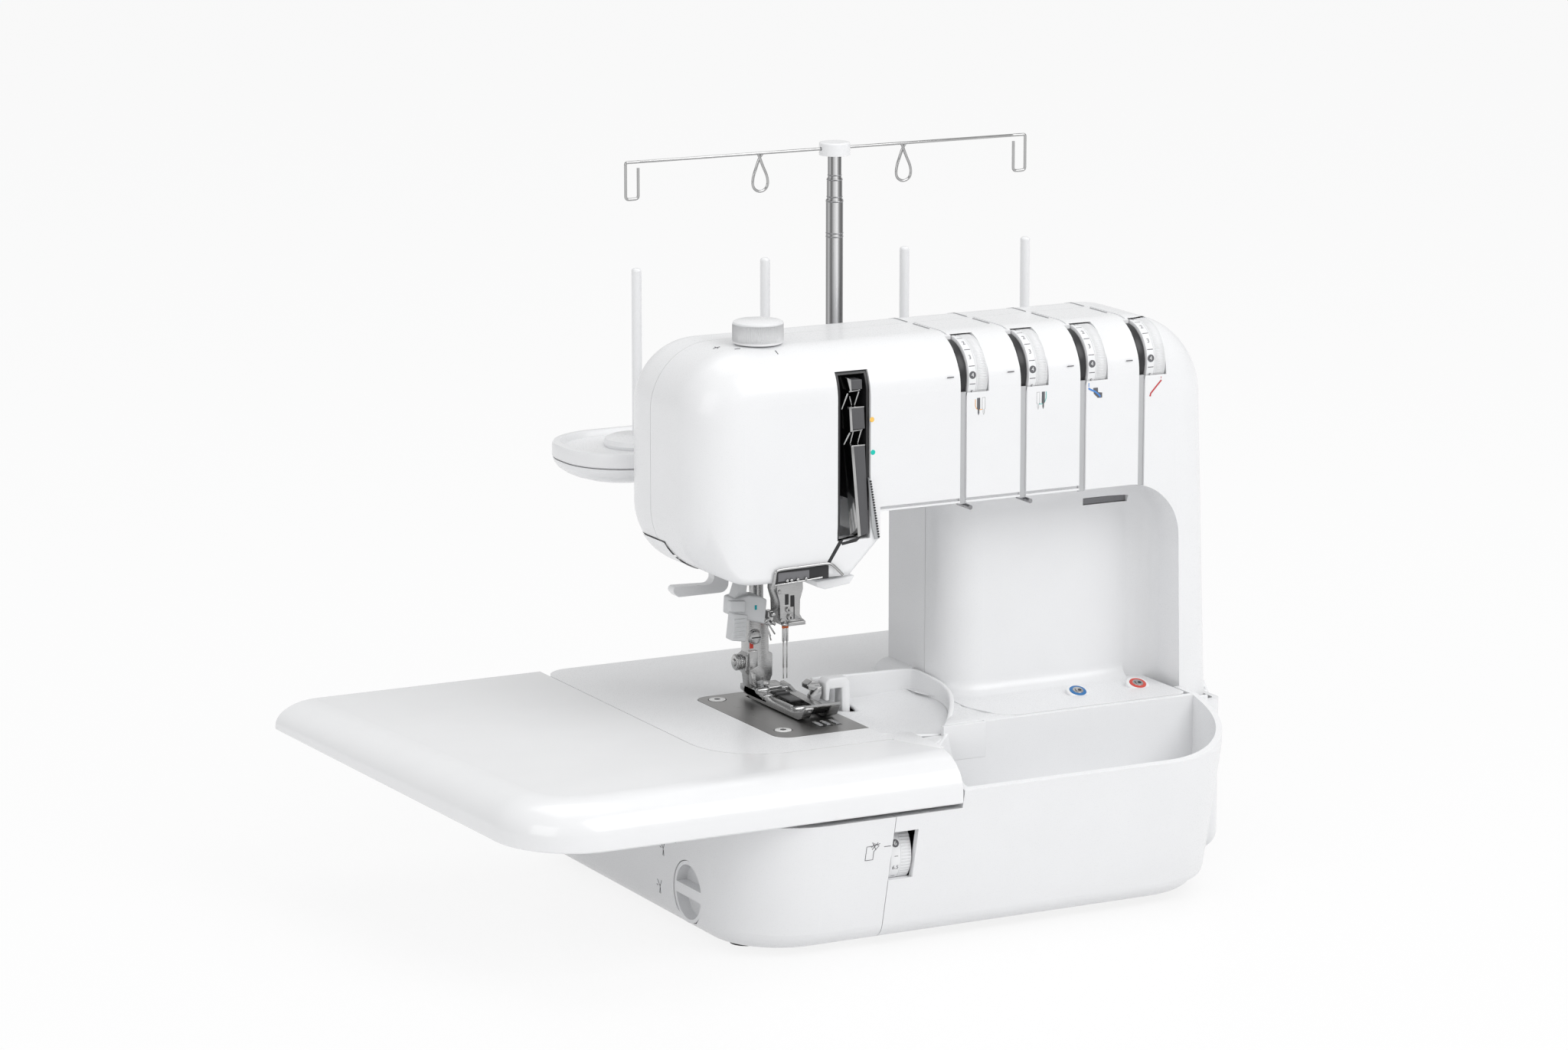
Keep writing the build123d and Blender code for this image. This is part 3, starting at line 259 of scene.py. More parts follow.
def white_gloss():
    return moulded("white_moulding", tuple(finish_of().moulding), 0.3, 0.03, 0.25)


def white_table():
    return moulded("table_moulding", tuple(finish_of().moulding), 0.2, 0.02, 0.5)


def grey_moulding():
    return moulded("grey_moulding", tuple(finish_of().shade), 0.45)


def black_plastic():
    return moulded("black_plastic", tuple(finish_of().black), 0.35)


def ink_print(name="dark_print", colour=None):
    return moulded(name, colour or tuple(finish_of().ink), 0.55, 0.02)


def steel():
    return metal("bright_steel", tuple(finish_of().steel), 0.24)


def plate_steel():
    return metal("needle_plate_steel", tuple(finish_of().plate), 0.34, (2500.0, 40.0, 2500.0), 0.25, 0.14)


def chrome():
    # Upright polish lines with very strong contrast: part real polish, part painted reflection streaks.
    return metal("polished_chrome", tuple(finish_of().chrome), 0.16, (420.0, 420.0, 4.0), 0.03, 0.75)


def mast_steel():
    """Drawn steel tube with painted reflections: its tone runs in light and dark upright bands painted round the mast
    by angle.
    """
    material = bpy.data.materials.get("mast_steel")
    if material:
        return material
    material = metal("mast_steel", (0.5, 0.5, 0.51), 0.24, (2500.0, 2500.0, 40.0), 0.06, 0.1)
    tree = material.node_tree
    shader = next(node for node in tree.nodes if node.type == "BSDF_PRINCIPLED")
    coords = tree.nodes.new("ShaderNodeTexCoord")
    place = tree.nodes.new("ShaderNodeMapping")
    place.vector_type = "POINT"
    x, y, z = centre_of("mast_lower")
    place.inputs["Location"].default_value = mm(-x, -y, 0.0)
    # Painted reflections: a ramp by angle round the mast paints light and dark upright bands in place of the tube's
    # highlights and dark edges.
    round_mast = tree.nodes.new("ShaderNodeTexGradient")
    round_mast.gradient_type = "RADIAL"
    painted_reflection_bands = tree.nodes.new("ShaderNodeValToRGB")
    painted_reflection_tones = ((0.06, 0.5), (0.11, 0.12), (0.17, 0.62), (0.22, 0.9), (0.26, 0.3), (0.32, 0.1), (0.4, 0.5), (0.5, 0.2),
             (0.62, 0.7), (0.75, 0.25), (0.88, 0.6))
    ramp = painted_reflection_bands.color_ramp.elements
    for spot, tone in painted_reflection_tones:
        ramp.new(spot).color = (tone, tone, tone * 1.01, 1)
    for stop in (ramp[0], ramp[-1]):
        stop.color = (0.2, 0.2, 0.202, 1)
    connect(tree, (coords.outputs["Object"], place.inputs["Vector"]),
            (place.outputs["Vector"], round_mast.inputs["Vector"]), (round_mast.outputs["Fac"], painted_reflection_bands.inputs["Fac"]),
            (painted_reflection_bands.outputs["Color"], shader.inputs["Base Color"]))
    return material


def steel_edge():
    return metal("polished_steel", tuple(finish_of().edge), 0.14, (300.0, 300.0, 300.0), 0.05, 0.1)


def rubber():
    return moulded("black_rubber", (0.03, 0.03, 0.032), 0.7, 0.2, 0.0, 900.0)


def paint_node(name, material):
    """Gives a CAD node its finish."""
    slots = NODES[name].data.materials
    slots.clear()
    slots.append(material)


# Modelling helpers


def mm(*values):
    return tuple(value * MM for value in values)


def span(name):
    """The two corners of a CAD node's box in millimetres."""
    return tuple(tuple(value / MM for value in corner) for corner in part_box(name))


def centre_of(name):
    return tuple((low + high) / 2 for low, high in zip(*span(name)))


def deselect():
    if bpy.context.object and bpy.context.object.mode != "OBJECT":
        bpy.ops.object.mode_set(mode="OBJECT")
    bpy.ops.object.select_all(action="DESELECT")


def only(ob):
    """Selects one piece and makes it the active one."""
    deselect()
    ob.select_set(True)
    bpy.context.view_layer.objects.active = ob


def modify(ob, kind, **values):
    """Applies a modifier with its values."""
    item = ob.modifiers.new(kind.lower(), kind)
    for key, value in values.items():
        setattr(item, key, value)
    bpy.context.view_layer.objects.active = ob
    bpy.ops.object.modifier_apply(modifier=item.name)


def settle(ob, name, material, body):
    """Applies a piece's place, names it, and lets it ride."""
    only(ob)
    bpy.ops.object.transform_apply(location=True, rotation=True, scale=True)
    ob.name = name
    ob.data.materials.clear()
    ob.data.materials.append(material)
    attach(ob, body)
    return ob


def soften(ob, width, segments=3, angle=35.0):
    """Bevels the sharp edges of a piece and smooths it."""
    modify(ob, "BEVEL", width=width, segments=segments, limit_method="ANGLE", angle_limit=math.radians(angle))
    only(ob)
    bpy.ops.object.shade_smooth_by_angle(angle=math.radians(40))


def clear_choice(ob):
    """Leaves no point, edge or face of a mesh selected."""
    for item in (*ob.data.vertices, *ob.data.edges, *ob.data.polygons):
        item.select = False


def face_out(closed=False):
    """Turns the active mesh's faces outwards, its seams and ends closed first where asked."""
    bpy.ops.object.mode_set(mode="EDIT")
    if closed:
        bpy.ops.mesh.select_mode(type="VERT")
        bpy.ops.mesh.select_all(action="SELECT")
        bpy.ops.mesh.remove_doubles(threshold=0.01 * MM)
        bpy.ops.mesh.fill_holes(sides=0)
    bpy.ops.mesh.select_all(action="SELECT")
    bpy.ops.mesh.normals_make_consistent(inside=False)
    bpy.ops.object.mode_set(mode="OBJECT")


def sheet(rows):
    """A grid of faces through rows of points in millimetres."""
    deselect()
    bpy.ops.mesh.primitive_grid_add(x_subdivisions=len(rows[0]) - 1, y_subdivisions=len(rows) - 1, size=1)
    ob = bpy.context.object
    for vert, point in zip(ob.data.vertices, (point for row in rows for point in row)):
        vert.co = mm(*point)
    return ob


def line_mesh(points, radius, kind="POLY", closed=False, order=3, steps=8, rounding=1):
    """A line through points in millimetres made a mesh, round if it has a radius."""
    deselect()
    bpy.ops.curve.primitive_nurbs_path_add()
    data = bpy.context.object.data
    data.splines.clear()
    line = data.splines.new(kind)
    line.points.add(len(points) - 1)
    for spot, point in zip(line.points, points):
        spot.co = (*mm(*point), 1.0)
    line.use_cyclic_u = closed
    if kind == "NURBS":
        line.order_u = order
        line.use_endpoint_u = True
    data.dimensions = "3D"
    data.resolution_u = steps
    data.bevel_depth = radius * MM
    data.bevel_resolution = rounding
    data.use_fill_caps = True
    bpy.ops.object.convert(target="MESH")
    return bpy.context.object


def hung_wall(rim, drops, thickness, width):
    """A softened wall that hangs from a curved rim, pulled down step by step."""
    ob = line_mesh(rim, 0.0, "NURBS", order=4, steps=10)
    bpy.ops.object.mode_set(mode="EDIT")
    bpy.ops.mesh.select_mode(type="VERT")
    bpy.ops.mesh.select_all(action="SELECT")
    for drop in drops:
        bpy.ops.mesh.extrude_region_move(TRANSFORM_OT_translate={"value": mm(*drop)})
    face_out()
    modify(ob, "SOLIDIFY", thickness=thickness * MM, offset=0.0)
    soften(ob, width * MM, 4, 50)
    return ob


def quarter(centre, radius, begin, turn, steps):
    """Points of a quarter circle in millimetres, from one angle on by a turn."""
    angles = [math.radians(begin + turn * step / steps) for step in range(steps + 1)]
    return [(centre[0] + radius * math.cos(angle), centre[1] + radius * math.sin(angle)) for angle in angles]


def box(low, high, width=0.4):
    """A softened block between two corners in millimetres."""
    deselect()
    low, high = Vector(mm(*low)), Vector(mm(*high))
    bpy.ops.mesh.primitive_cube_add(size=1, location=(low + high) / 2)
    ob = bpy.context.object
    ob.scale = high - low
    bpy.ops.object.transform_apply(location=False, rotation=False, scale=True)
    soften(ob, width * MM)
    return ob


def rod(start, end, radius, sides, width):
    """A round bar between two points in millimetres, its ends softened."""
    deselect()
    start, end = Vector(mm(*start)), Vector(mm(*end))
    way = end - start
    bpy.ops.mesh.primitive_cylinder_add(
        vertices=sides, radius=radius * MM, depth=way.length, location=(start + end) / 2,
        rotation=way.to_track_quat("Z", "Y").to_euler())
    ob = bpy.context.object
    soften(ob, width * MM, 2)
    return ob


def bar(start, end, radius, sides=20):
    """A round bar whose ends are softened by a quarter of its radius."""
    return rod(start, end, radius, sides, radius * 0.25)


def ribbed_wheel(centre, way, radius, width, ribs, depth, edge=0.5):
    """A wheel with fine grooves across its rim, in millimetres."""
    deselect()
    bpy.ops.mesh.primitive_cylinder_add(
        vertices=ribs * 2, radius=radius * MM, depth=width * MM, location=mm(*centre),
        rotation=Vector(way).to_track_quat("Z", "Y").to_euler())
    ob = bpy.context.object
    soften(ob, edge * MM, 2, 60)
    only(ob)
    rim = [face for face in ob.data.polygons if abs(face.normal.z) < 0.1]
    rim.sort(key=lambda face: math.atan2(face.center.y, face.center.x))
    clear_choice(ob)
    for face in rim[::2]:
        face.select = True
    bpy.ops.object.mode_set(mode="EDIT")
    bpy.ops.mesh.select_mode(type="FACE")
    bpy.ops.mesh.inset(thickness=radius * MM * 0.006, depth=-depth * MM, use_individual=True)
    bpy.ops.object.mode_set(mode="OBJECT")
    return ob


def join(pieces):
    """Several meshes made one."""
    deselect()
    for piece in pieces:
        piece.select_set(True)
    bpy.context.view_layer.objects.active = pieces[0]
    if len(pieces) > 1:
        bpy.ops.object.join()
    return bpy.context.object


def round_points(radius, count=32, centre=(0.0, 0.0)):
    """Points round a circle."""
    return [
        (centre[0] + radius * math.cos(2 * math.pi * step / count),
         centre[1] + radius * math.sin(2 * math.pi * step / count)) for step in range(count)]


def plate(points, depth, place, turn, width=0.3, segments=3):
    """A flat outline in millimetres, raised along its face and softened."""
    deselect()
    bpy.ops.mesh.primitive_circle_add(vertices=len(points), fill_type="NGON", location=(0, 0, 0))
    ob = bpy.context.object
    for vert, (across, up) in zip(ob.data.vertices, points):
        vert.co = mm(across, up, 0)
    bpy.ops.object.mode_set(mode="EDIT")
    bpy.ops.mesh.select_all(action="SELECT")
    bpy.ops.mesh.extrude_region_move(TRANSFORM_OT_translate={"value": (0, 0, depth * MM)})
    face_out()
    ob.rotation_euler = turn
    ob.location = mm(*place)
    if width:
        soften(ob, width * MM, segments)
    return ob


def front_plate(points, front, back, width=0.3, segments=3):
    """A plate that faces the front, its outline given as x and z."""
    return plate(points, back - front, (0, back, 0), FRONT, width, segments)


def side_plate(points, left, right, width=0.3, segments=3):
    """A plate that faces the left, its outline given as y and z."""
    return plate([(-y, z) for y, z in points], right - left, (right, 0, 0), LEFT, width, segments)


def top_plate(points, low, high, width=0.3, segments=3):
    """A plate that faces up, its outline given as x and y."""
    return plate(points, high - low, (0, 0, low), TOP, width, segments)


def touch(name, start, way):
    """Where a straight line from a point first meets a CAD piece, in millimetres."""
    hit, spot, normal, face = NODES[name].ray_cast(mm(*start), way)
    return tuple(value / MM for value in spot) if hit else start


def mark(points, width, place, turn, closed=False):
    """A flat printed line through points on a face."""
    ob = line_mesh([(across, up, 0) for across, up in points], width / 2, closed=closed)
    ob.scale = (1, 1, 0.2)
    ob.rotation_euler = turn
    ob.location = mm(*place)
    only(ob)
    bpy.ops.object.transform_apply(location=True, rotation=True, scale=True)
    return ob


def traced(points, width, name, place, way):
    """A printed line laid on a CAD piece, its points counted across and up from a place."""
    x, y, z = place
    spots = []
    for across, up in points:
        if way[0]:
            start = (x, y - across, z + up)
        elif way[2]:
            start = (x + across, y + up, z)
        else:
            start = (x + across, y, z + up)
        spots.append(touch(name, start, way))
    return line_mesh(spots, width / 2)


def dot(radius, place, turn):
    """A flat printed dot."""
    return plate(round_points(radius), 0.12, place, turn, 0.05, 1)


def digits(text, size, place, turn):
    """A printed number as a thin mesh, its size and place in millimetres."""
    deselect()
    bpy.ops.object.text_add(location=mm(*place), rotation=turn)
    data = bpy.context.object.data
    data.body = text
    data.size = size * MM
    data.align_x = data.align_y = "CENTER"
    data.extrude = 0.03 * MM
    bpy.ops.object.convert(target="MESH")
    return bpy.context.object


def round_wire(points, radius):
    """A bent wire through points in millimetres."""
    ob = line_mesh(points, radius, "NURBS", rounding=4)
    bpy.ops.object.shade_smooth()
    return ob


def twin(ob, shift):
    """A copy of a piece with its own mesh, moved by millimetres."""
    other = ob.copy()
    other.data = ob.data.copy()
    bpy.context.collection.objects.link(other)
    other.location = Vector(ob.location) + Vector(mm(*shift))
    return other


def rim_turn(angle):
    """Turn of a print on a wheel's rim, its angle counted up from the front."""
    return (math.pi / 2 - math.radians(angle), 0, 0)


def rim_place(centre, radius, angle):
    """Point on a wheel's rim in millimetres."""
    return (
        centre[0], centre[1] - radius * math.cos(math.radians(angle)),
        centre[2] + radius * math.sin(math.radians(angle)))


class OVERLOCK_OT_finishes(bpy.types.Operator):
    """Gives every CAD piece its finish"""

    bl_idname = "overlock.finishes"
    bl_label = "Finishes"

    def execute(self, context):
        whites = (
            "base_housing", "bed_cover", "looper_cover", "front_cover", "rear_cover", "pressure_knob",
            "tension_dial_1", "tension_dial_2", "tension_dial_3", "tension_dial_4", "cutting_width_dial",
            "knife_knob", "handwheel", "stitch_length_dial", "differential_dial", "thread_lever", "spool_tray",
            "spool_stand", "thread_cutter", "needle_threader", "foot_lifter", "guide_hub", "spool_pins", "scrap_guard",
        )
        steels = (
            "plate_screws", "tension_axle", "main_shaft", "upper_shaft", "motor_pulley", "needle_bar", "needle_clamp",
            "needles", "presser_bar", "presser_spring", "presser_ankle", "presser_foot", "lower_looper", "upper_looper",
            "feed_dogs", "upper_knife", "lower_knife",
        )
        finishes = (
            (whites, white_gloss()), (steels, steel()), (("slide_on_table",), white_table()),
            (("needle_plate",), plate_steel()), (("thread_guides", "guide_wire"), chrome()),
            (("mast_lower", "mast_middle", "mast_upper"), mast_steel()),
            (("take_up_guard", "power_inlet", "power_switch"), black_plastic()),
            (("rubber_feet", "timing_belt", "motor_belt"), rubber()), (("base_pan",), grey_moulding()),
            (("lamp_lens",), moulded("lamp_shade", (0.2, 0.2, 0.21), 0.3)),
            (("looper_ports",), moulded("port_blue", (0.02, 0.16, 0.42), 0.35)),
            (("circuit_board",), moulded("board_green", (0.02, 0.12, 0.05), 0.5)),
            (("frame_casting",), moulded("cast_alloy", (0.42, 0.43, 0.44), 0.55, 0.3, 0.0, 700.0)),
            (("drive_motor",), moulded("motor_case", (0.25, 0.26, 0.27), 0.5)),
        )
        for names, material in finishes:
            for name in names:
                paint_node(name, material)
        return {"FINISHED"}


class OVERLOCK_OT_tension_dials(bpy.types.Operator):
    """Models the four ribbed tension dials with their numbers"""

    bl_idname = "overlock.tension_dials"
    bl_label = "Tension dials"

    def execute(self, context):
        low, high = span("tension_dial_1")
        left, radius = low[0], (high[2] - low[2]) / 2
        middle = centre_of("tension_dial_1")[1:]
        detail = detail_of()
        band = rod((left, *middle), (left + 4.8, *middle), radius - 0.05, 128, 0.4)
        grip = ribbed_wheel((left + 8.4, *middle), ALONG, radius - 0.05, 7.0, detail.dial_ribs, detail.rib_depth / MM)
        lip = rod((left + 4.7, *middle), (left + 5.1, *middle), radius - 0.5, 128, 0.1)
        wheel = join([band, grip, lip])
        prints = []
        for value, angle in (("3", 33), ("2", 60), ("5", -21), ("6", -48), ("1", 87)):
            prints.append(digits(value, 3.6, rim_place((left + 2.4, *middle), radius, angle), rim_turn(angle)))
        prints.append(dot(2.1, rim_place((left + 2.4, *middle), radius - 0.1, 6), rim_turn(6)))
        for angle in (-34.5, -7.5, 19.5, 46.5, 73.5):
            place = rim_place((left, *middle), radius - 0.04, angle)
            prints.append(mark([(0.6, 0), (4.2, 0)], 0.45, place, rim_turn(angle)))
        prints = join(prints)
        shown = digits("4", 3.2, rim_place((left + 2.4, *middle), radius + 0.07, 6), rim_turn(6))
        white, ink = white_gloss(), ink_print()
        for index in range(1, 5):
            shift = (span("tension_dial_%d" % index)[0][0] - left, 0, 0)
            body = "dial_%d" % index
            made = settle(twin(wheel, shift), "tension_wheel_%d" % index, white, body)
            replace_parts(made, "tension_dial_%d" % index)
            settle(twin(prints, shift), "tension_numbers_%d" % index, ink, body)
            settle(twin(shown, shift), "tension_setting_%d" % index, white, body)
        for spare in (wheel, prints, shown):
            bpy.data.objects.remove(spare)
        return {"FINISHED"}


class OVERLOCK_OT_white_forms(bpy.types.Operator):
    """Models the head's lower edge, the guard, the cover's corner, the table, the spool tray and the knife holder"""

    bl_idname = "overlock.white_forms"
    bl_label = "White forms"

    def chin(self):
        """Lower front edge of the head, its rounding growing wide towards the left."""
        left, blend = -156.0, 22.0
        wide_radius, narrow_radius = 27.0, 4.5
        head_under, slant_from = 187.96, -68.0
        lift = 0.04
        columns = [left + step * 2.0 for step in range(40)]
        columns += [-76.3, -76.2, -74, -72, -70, -68, -66, -64, -62, -60, -58, -56.2, -55.8, -54, -52, -50, -49.98]
        steps = 10
        rows = steps + 5
        points = []
        for number_of in range(rows * len(columns)):
            column, row = number_of % len(columns), number_of // len(columns)
            x = columns[column]
            share = min(1.0, max(0.0, (x - left) / blend))
            share = share * share * (3 - 2 * share)
            radius = wide_radius - (wide_radius - narrow_radius) * share
            under = head_under + max(0.0, x - slant_from)
            front = FACE
            if x < -124:
                under = touch("front_cover", (x, FACE + 30.0, 120), (0, 0, 1))[2] - lift
                front = touch("front_cover", (x, -120, 240), BACK)[1]
            crest = 208.0 if -76.25 < x < -56.0 else under + 30.0
            if row == 0:
                y, z = front + 12.0, crest
            elif row == 1:
                y, z = front - lift, crest
            elif row < steps + 3:
                turn = math.pi / 2 * (row - 2) / steps
                y = front - lift + radius * (1 - math.cos(turn))
                z = under + radius * (1 - math.sin(turn))
            elif row == steps + 3:
                y, z = front + 28.0, under
            else:
                y, z = front + 31.0, under
            if column == len(columns) - 1:
                y = FACE + 31.0
            if column == 0:
                y, z = y + 1.2, z + 1.2
            points.append((x, y, z))
        wide = len(columns)
        ob = sheet([points[row * wide:(row + 1) * wide] for row in range(rows)])
        face_out()
        bpy.ops.object.shade_smooth_by_angle(angle=math.radians(35))
        settle(ob, "head_chin", white_gloss(), "frame")

    def guard(self):
        """Curved wall and chute that lead cut edges to the front."""
        rim = ((-57, 12.2, 116.6), (-40, 12.2, 116.2), (-20, 12.2, 115.6), (-4, 12.2, 115.4), (5, 12, 115.2),
               (8, 7, 115), (8.2, -2, 114.4), (10.4, -13, 112.8), (10, -24, 111), (5.4, -37, 108.6), (-3, -51, 105.4),
               (-12, -63, 102.4), (-19.4, -72.2, 100.2))
        wall = hung_wall(rim, ((-0.4, -0.1, -4.5), (-0.8, -0.2, -5.0), (-1.4, -0.2, -5.5)), 2.8, 1.0)
        shoulder = top_plate(
            [(-20, -72.4), (26, -72.4), (14, -58), (10, -40), (16, -24), (9, -27), (3, -41), (-5, -54), (-13, -64)],
            94, 103.8, 0.8)
        made = settle(join([wall, self.chute(), shoulder]), "guard_wall", white_gloss(), "frame")
        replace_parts(made, "scrap_guard")

    def cover_corner(self):
        """Carries the guard on into the looper cover's bin."""
        rear = touch("looper_cover", (12, -76, 200), DOWN)[2]
        face = touch("looper_cover", (12, -120, 80), BACK)[1]
        corner = box((-22, face - 0.3, 84), (4.4, -72.9, rear), 0.25)
        cheek = top_plate([(-59.2, -72.9), (-41.5, -72.9), (-41.5, -112), (-54, -112), (-59.2, -93)], 98, 102.8, 0.5)
        floor = top_plate([(-42, -72.9), (-18, -72.9), (-26, -81), (-34, -88.6), (-42, -95.4)], 94, 98.4, 0.5)
        rim = ((-17.6, -72.9, 100.2), (-24, -79.6, 98.8), (-32, -87.4, 96.8), (-41.6, -95.4, 94.4))
        wall = hung_wall(rim, ((0.4, -0.4, -6), (1.0, -1.2, -9), (2.4, -2.6, -10), (4.5, -4.5, -9)), 2.6, 0.9)
        settle(join([corner, cheek, floor, wall]), "cover_corner", white_gloss(), "looper_cover")

    def chute(self):
        """Hollow floor between the bed and the guard, open where the knife holder passes."""
        left, back, bed = -58.9, 12.6, 103.4
        shares = (0.0, 0.06, 0.14, 0.26, 0.34, 0.44, 0.54, 0.64, 0.74, 0.84, 0.92, 1.0)
        edges = ((back, 4), (10, 6), (8, 6.5), (-6, 7), (-12, 8), (-20, 8), (-30, 6), (-40, 1), (-50, -5),
                 (-60, -12), (-67, -17), (-72.4, -21))
        rows = []
        for y, right in edges:
            fall = (back - y) / 85.0
            wall = 104.5 - 6.0 * fall
            hollow = 6.0 * math.sin(math.pi * fall) ** 0.5 if fall > 0 else 0.0
            rows.append([
                (left + (right - left) * share, y,
                 bed + (wall - bed) * share - hollow * math.sin(math.pi * share ** 0.8)) for share in shares])
        ob = sheet(rows)
        clear_choice(ob)
        for face in ob.data.polygons:
            x, y = face.center.x / MM, face.center.y / MM
            face.select = -59 < x < -39 and -6 < y < 8
        bpy.ops.object.mode_set(mode="EDIT")
        bpy.ops.mesh.select_mode(type="FACE")
        bpy.ops.mesh.delete(type="FACE")
        bpy.ops.object.mode_set(mode="OBJECT")
        face_out()
        modify(ob, "SUBSURF", levels=2)
        modify(ob, "SOLIDIFY", thickness=1.6 * MM, offset=-1.0)
        bpy.ops.object.shade_smooth()
        return ob

    def table(self):
        """Slide-on table, its edge rolled down to a thin lip."""
        steps, top, roll = 10, 104.0, 24.0
        front, depth = -142.5, 285.0

        def outer(shift):
            path = [(-47.0 - 210.0 * step / 11, front + shift) for step in range(11)]
            path += quarter((-257, -96.5), 46 - shift, 270, -90, 14)
            path += [(-303 + shift - 21.0 * step / 15, -96.5 + 239.0 * step / 15) for step in range(1, 16)]
            return path

        inner = [(-61.5 - 60.0 * step / 11, -88.5) for step in range(11)]
        inner += quarter((-121.5, -48.0), 40.5, 270, -90, 14)
        inner += [(-162.0, -48.0 + 190.5 * step / 15) for step in range(1, 16)]
        rows = []
        edge = outer(0.0)
        under = [79.0 + 9.5 * (y - front) / depth for x, y in edge]
        lip = [low + 5.5 - 3.0 * (y - front) / depth for low, (x, y) in zip(under, edge)]
        rows.append([(x, y, 92.0) for x, y in inner])
        rows.append([(x, y, low) for low, (x, y) in zip(under, outer(9.0))])
        rows.append([(x, y, low) for low, (x, y) in zip(under, outer(0.8))])
        rows.append([(x, y, low + 0.8) for low, (x, y) in zip(under, edge)])
        for step in range(steps + 1):
            turn = math.pi / 2 * step / steps
            rows.append([
                (x, y, low + (top - low) * math.sin(turn))
                for low, (x, y) in zip(lip, outer(roll * (1 - math.cos(turn))))])
        rows.append([(x, y, top) for x, y in inner])
        rows.append(rows[0])
        ob = sheet(rows)
        face_out(True)
        bpy.ops.object.shade_smooth_by_angle(angle=math.radians(35))
        made = settle(ob, "table_shell", white_table(), "table")
        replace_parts(made, "slide_on_table")

    def spool_shell(self, rows):
        """Closed form through rounded outlines, each with its inset and height."""
        corner = 36.0
        (left, front, _), (right, back, _) = span("spool_stand")
        left, right, front, back = left + corner, right - corner, front + corner, back - corner
        lines = []
        for inset, z in rows:
            line = []
            for middle, begin in (((right, back), 0), ((left, back), 90), ((left, front), 180), ((right, front), 270)):
                line += [(x, y, z) for x, y in quarter(middle, corner - inset, begin, 90, 12)]
            lines.append(line + line[:1])
        ob = sheet(lines)
        face_out(True)
        bpy.ops.object.shade_smooth_by_angle(angle=math.radians(35))
        return ob

    def spool_shells(self):
        """Tapering spool tray and the rimmed plate on it."""
        tray = self.spool_shell(((26, 225.5), (14, 226.2), (7, 228.4), (3, 231.2), (1, 234), (0.4, 236)))
        boss = bar((*MAST, 219), (*MAST, 230), 11, 40)
        made = settle(join([tray, boss]), "tray_shell", white_gloss(), "frame")
        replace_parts(made, "spool_tray")
        plate_form = self.spool_shell(
            ((1, 236.4), (0, 237.2), (0, 243), (0.8, 244.6), (2.2, 245), (4.6, 245), (5.6, 244), (6.6, 241.6)))
        seats = [bar((x, MAST[1], 240), (x, MAST[1], 247), 19, 48) for x in SPOOL_XS]
        collar = bar((*MAST, 240), (*MAST, 252), 8.9, 36)
        made = settle(join([plate_form, *seats, collar]), "stand_shell", white_gloss(), "frame")
        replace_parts(made, "spool_stand")

    def knife_holder(self):
        arm = front_plate(
            [(-45.8, 57), (-40.6, 57), (-40.6, 116), (-43, 118.6), (-53.6, 118.6), (-56.2, 116.4), (-56.2, 106),
             (-53.8, 106), (-53.2, 112.6), (-45.8, 112.6)], -3.6, 5.6, 0.9)
        made = settle(arm, "knife_holder", white_gloss(), "moving_knife")
        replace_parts(made, "upper_knife")

    def execute(self, context):
        self.chin()
        self.guard()
        self.cover_corner()
        self.knife_holder()
        self.table()
        self.spool_shells()
        return {"FINISHED"}


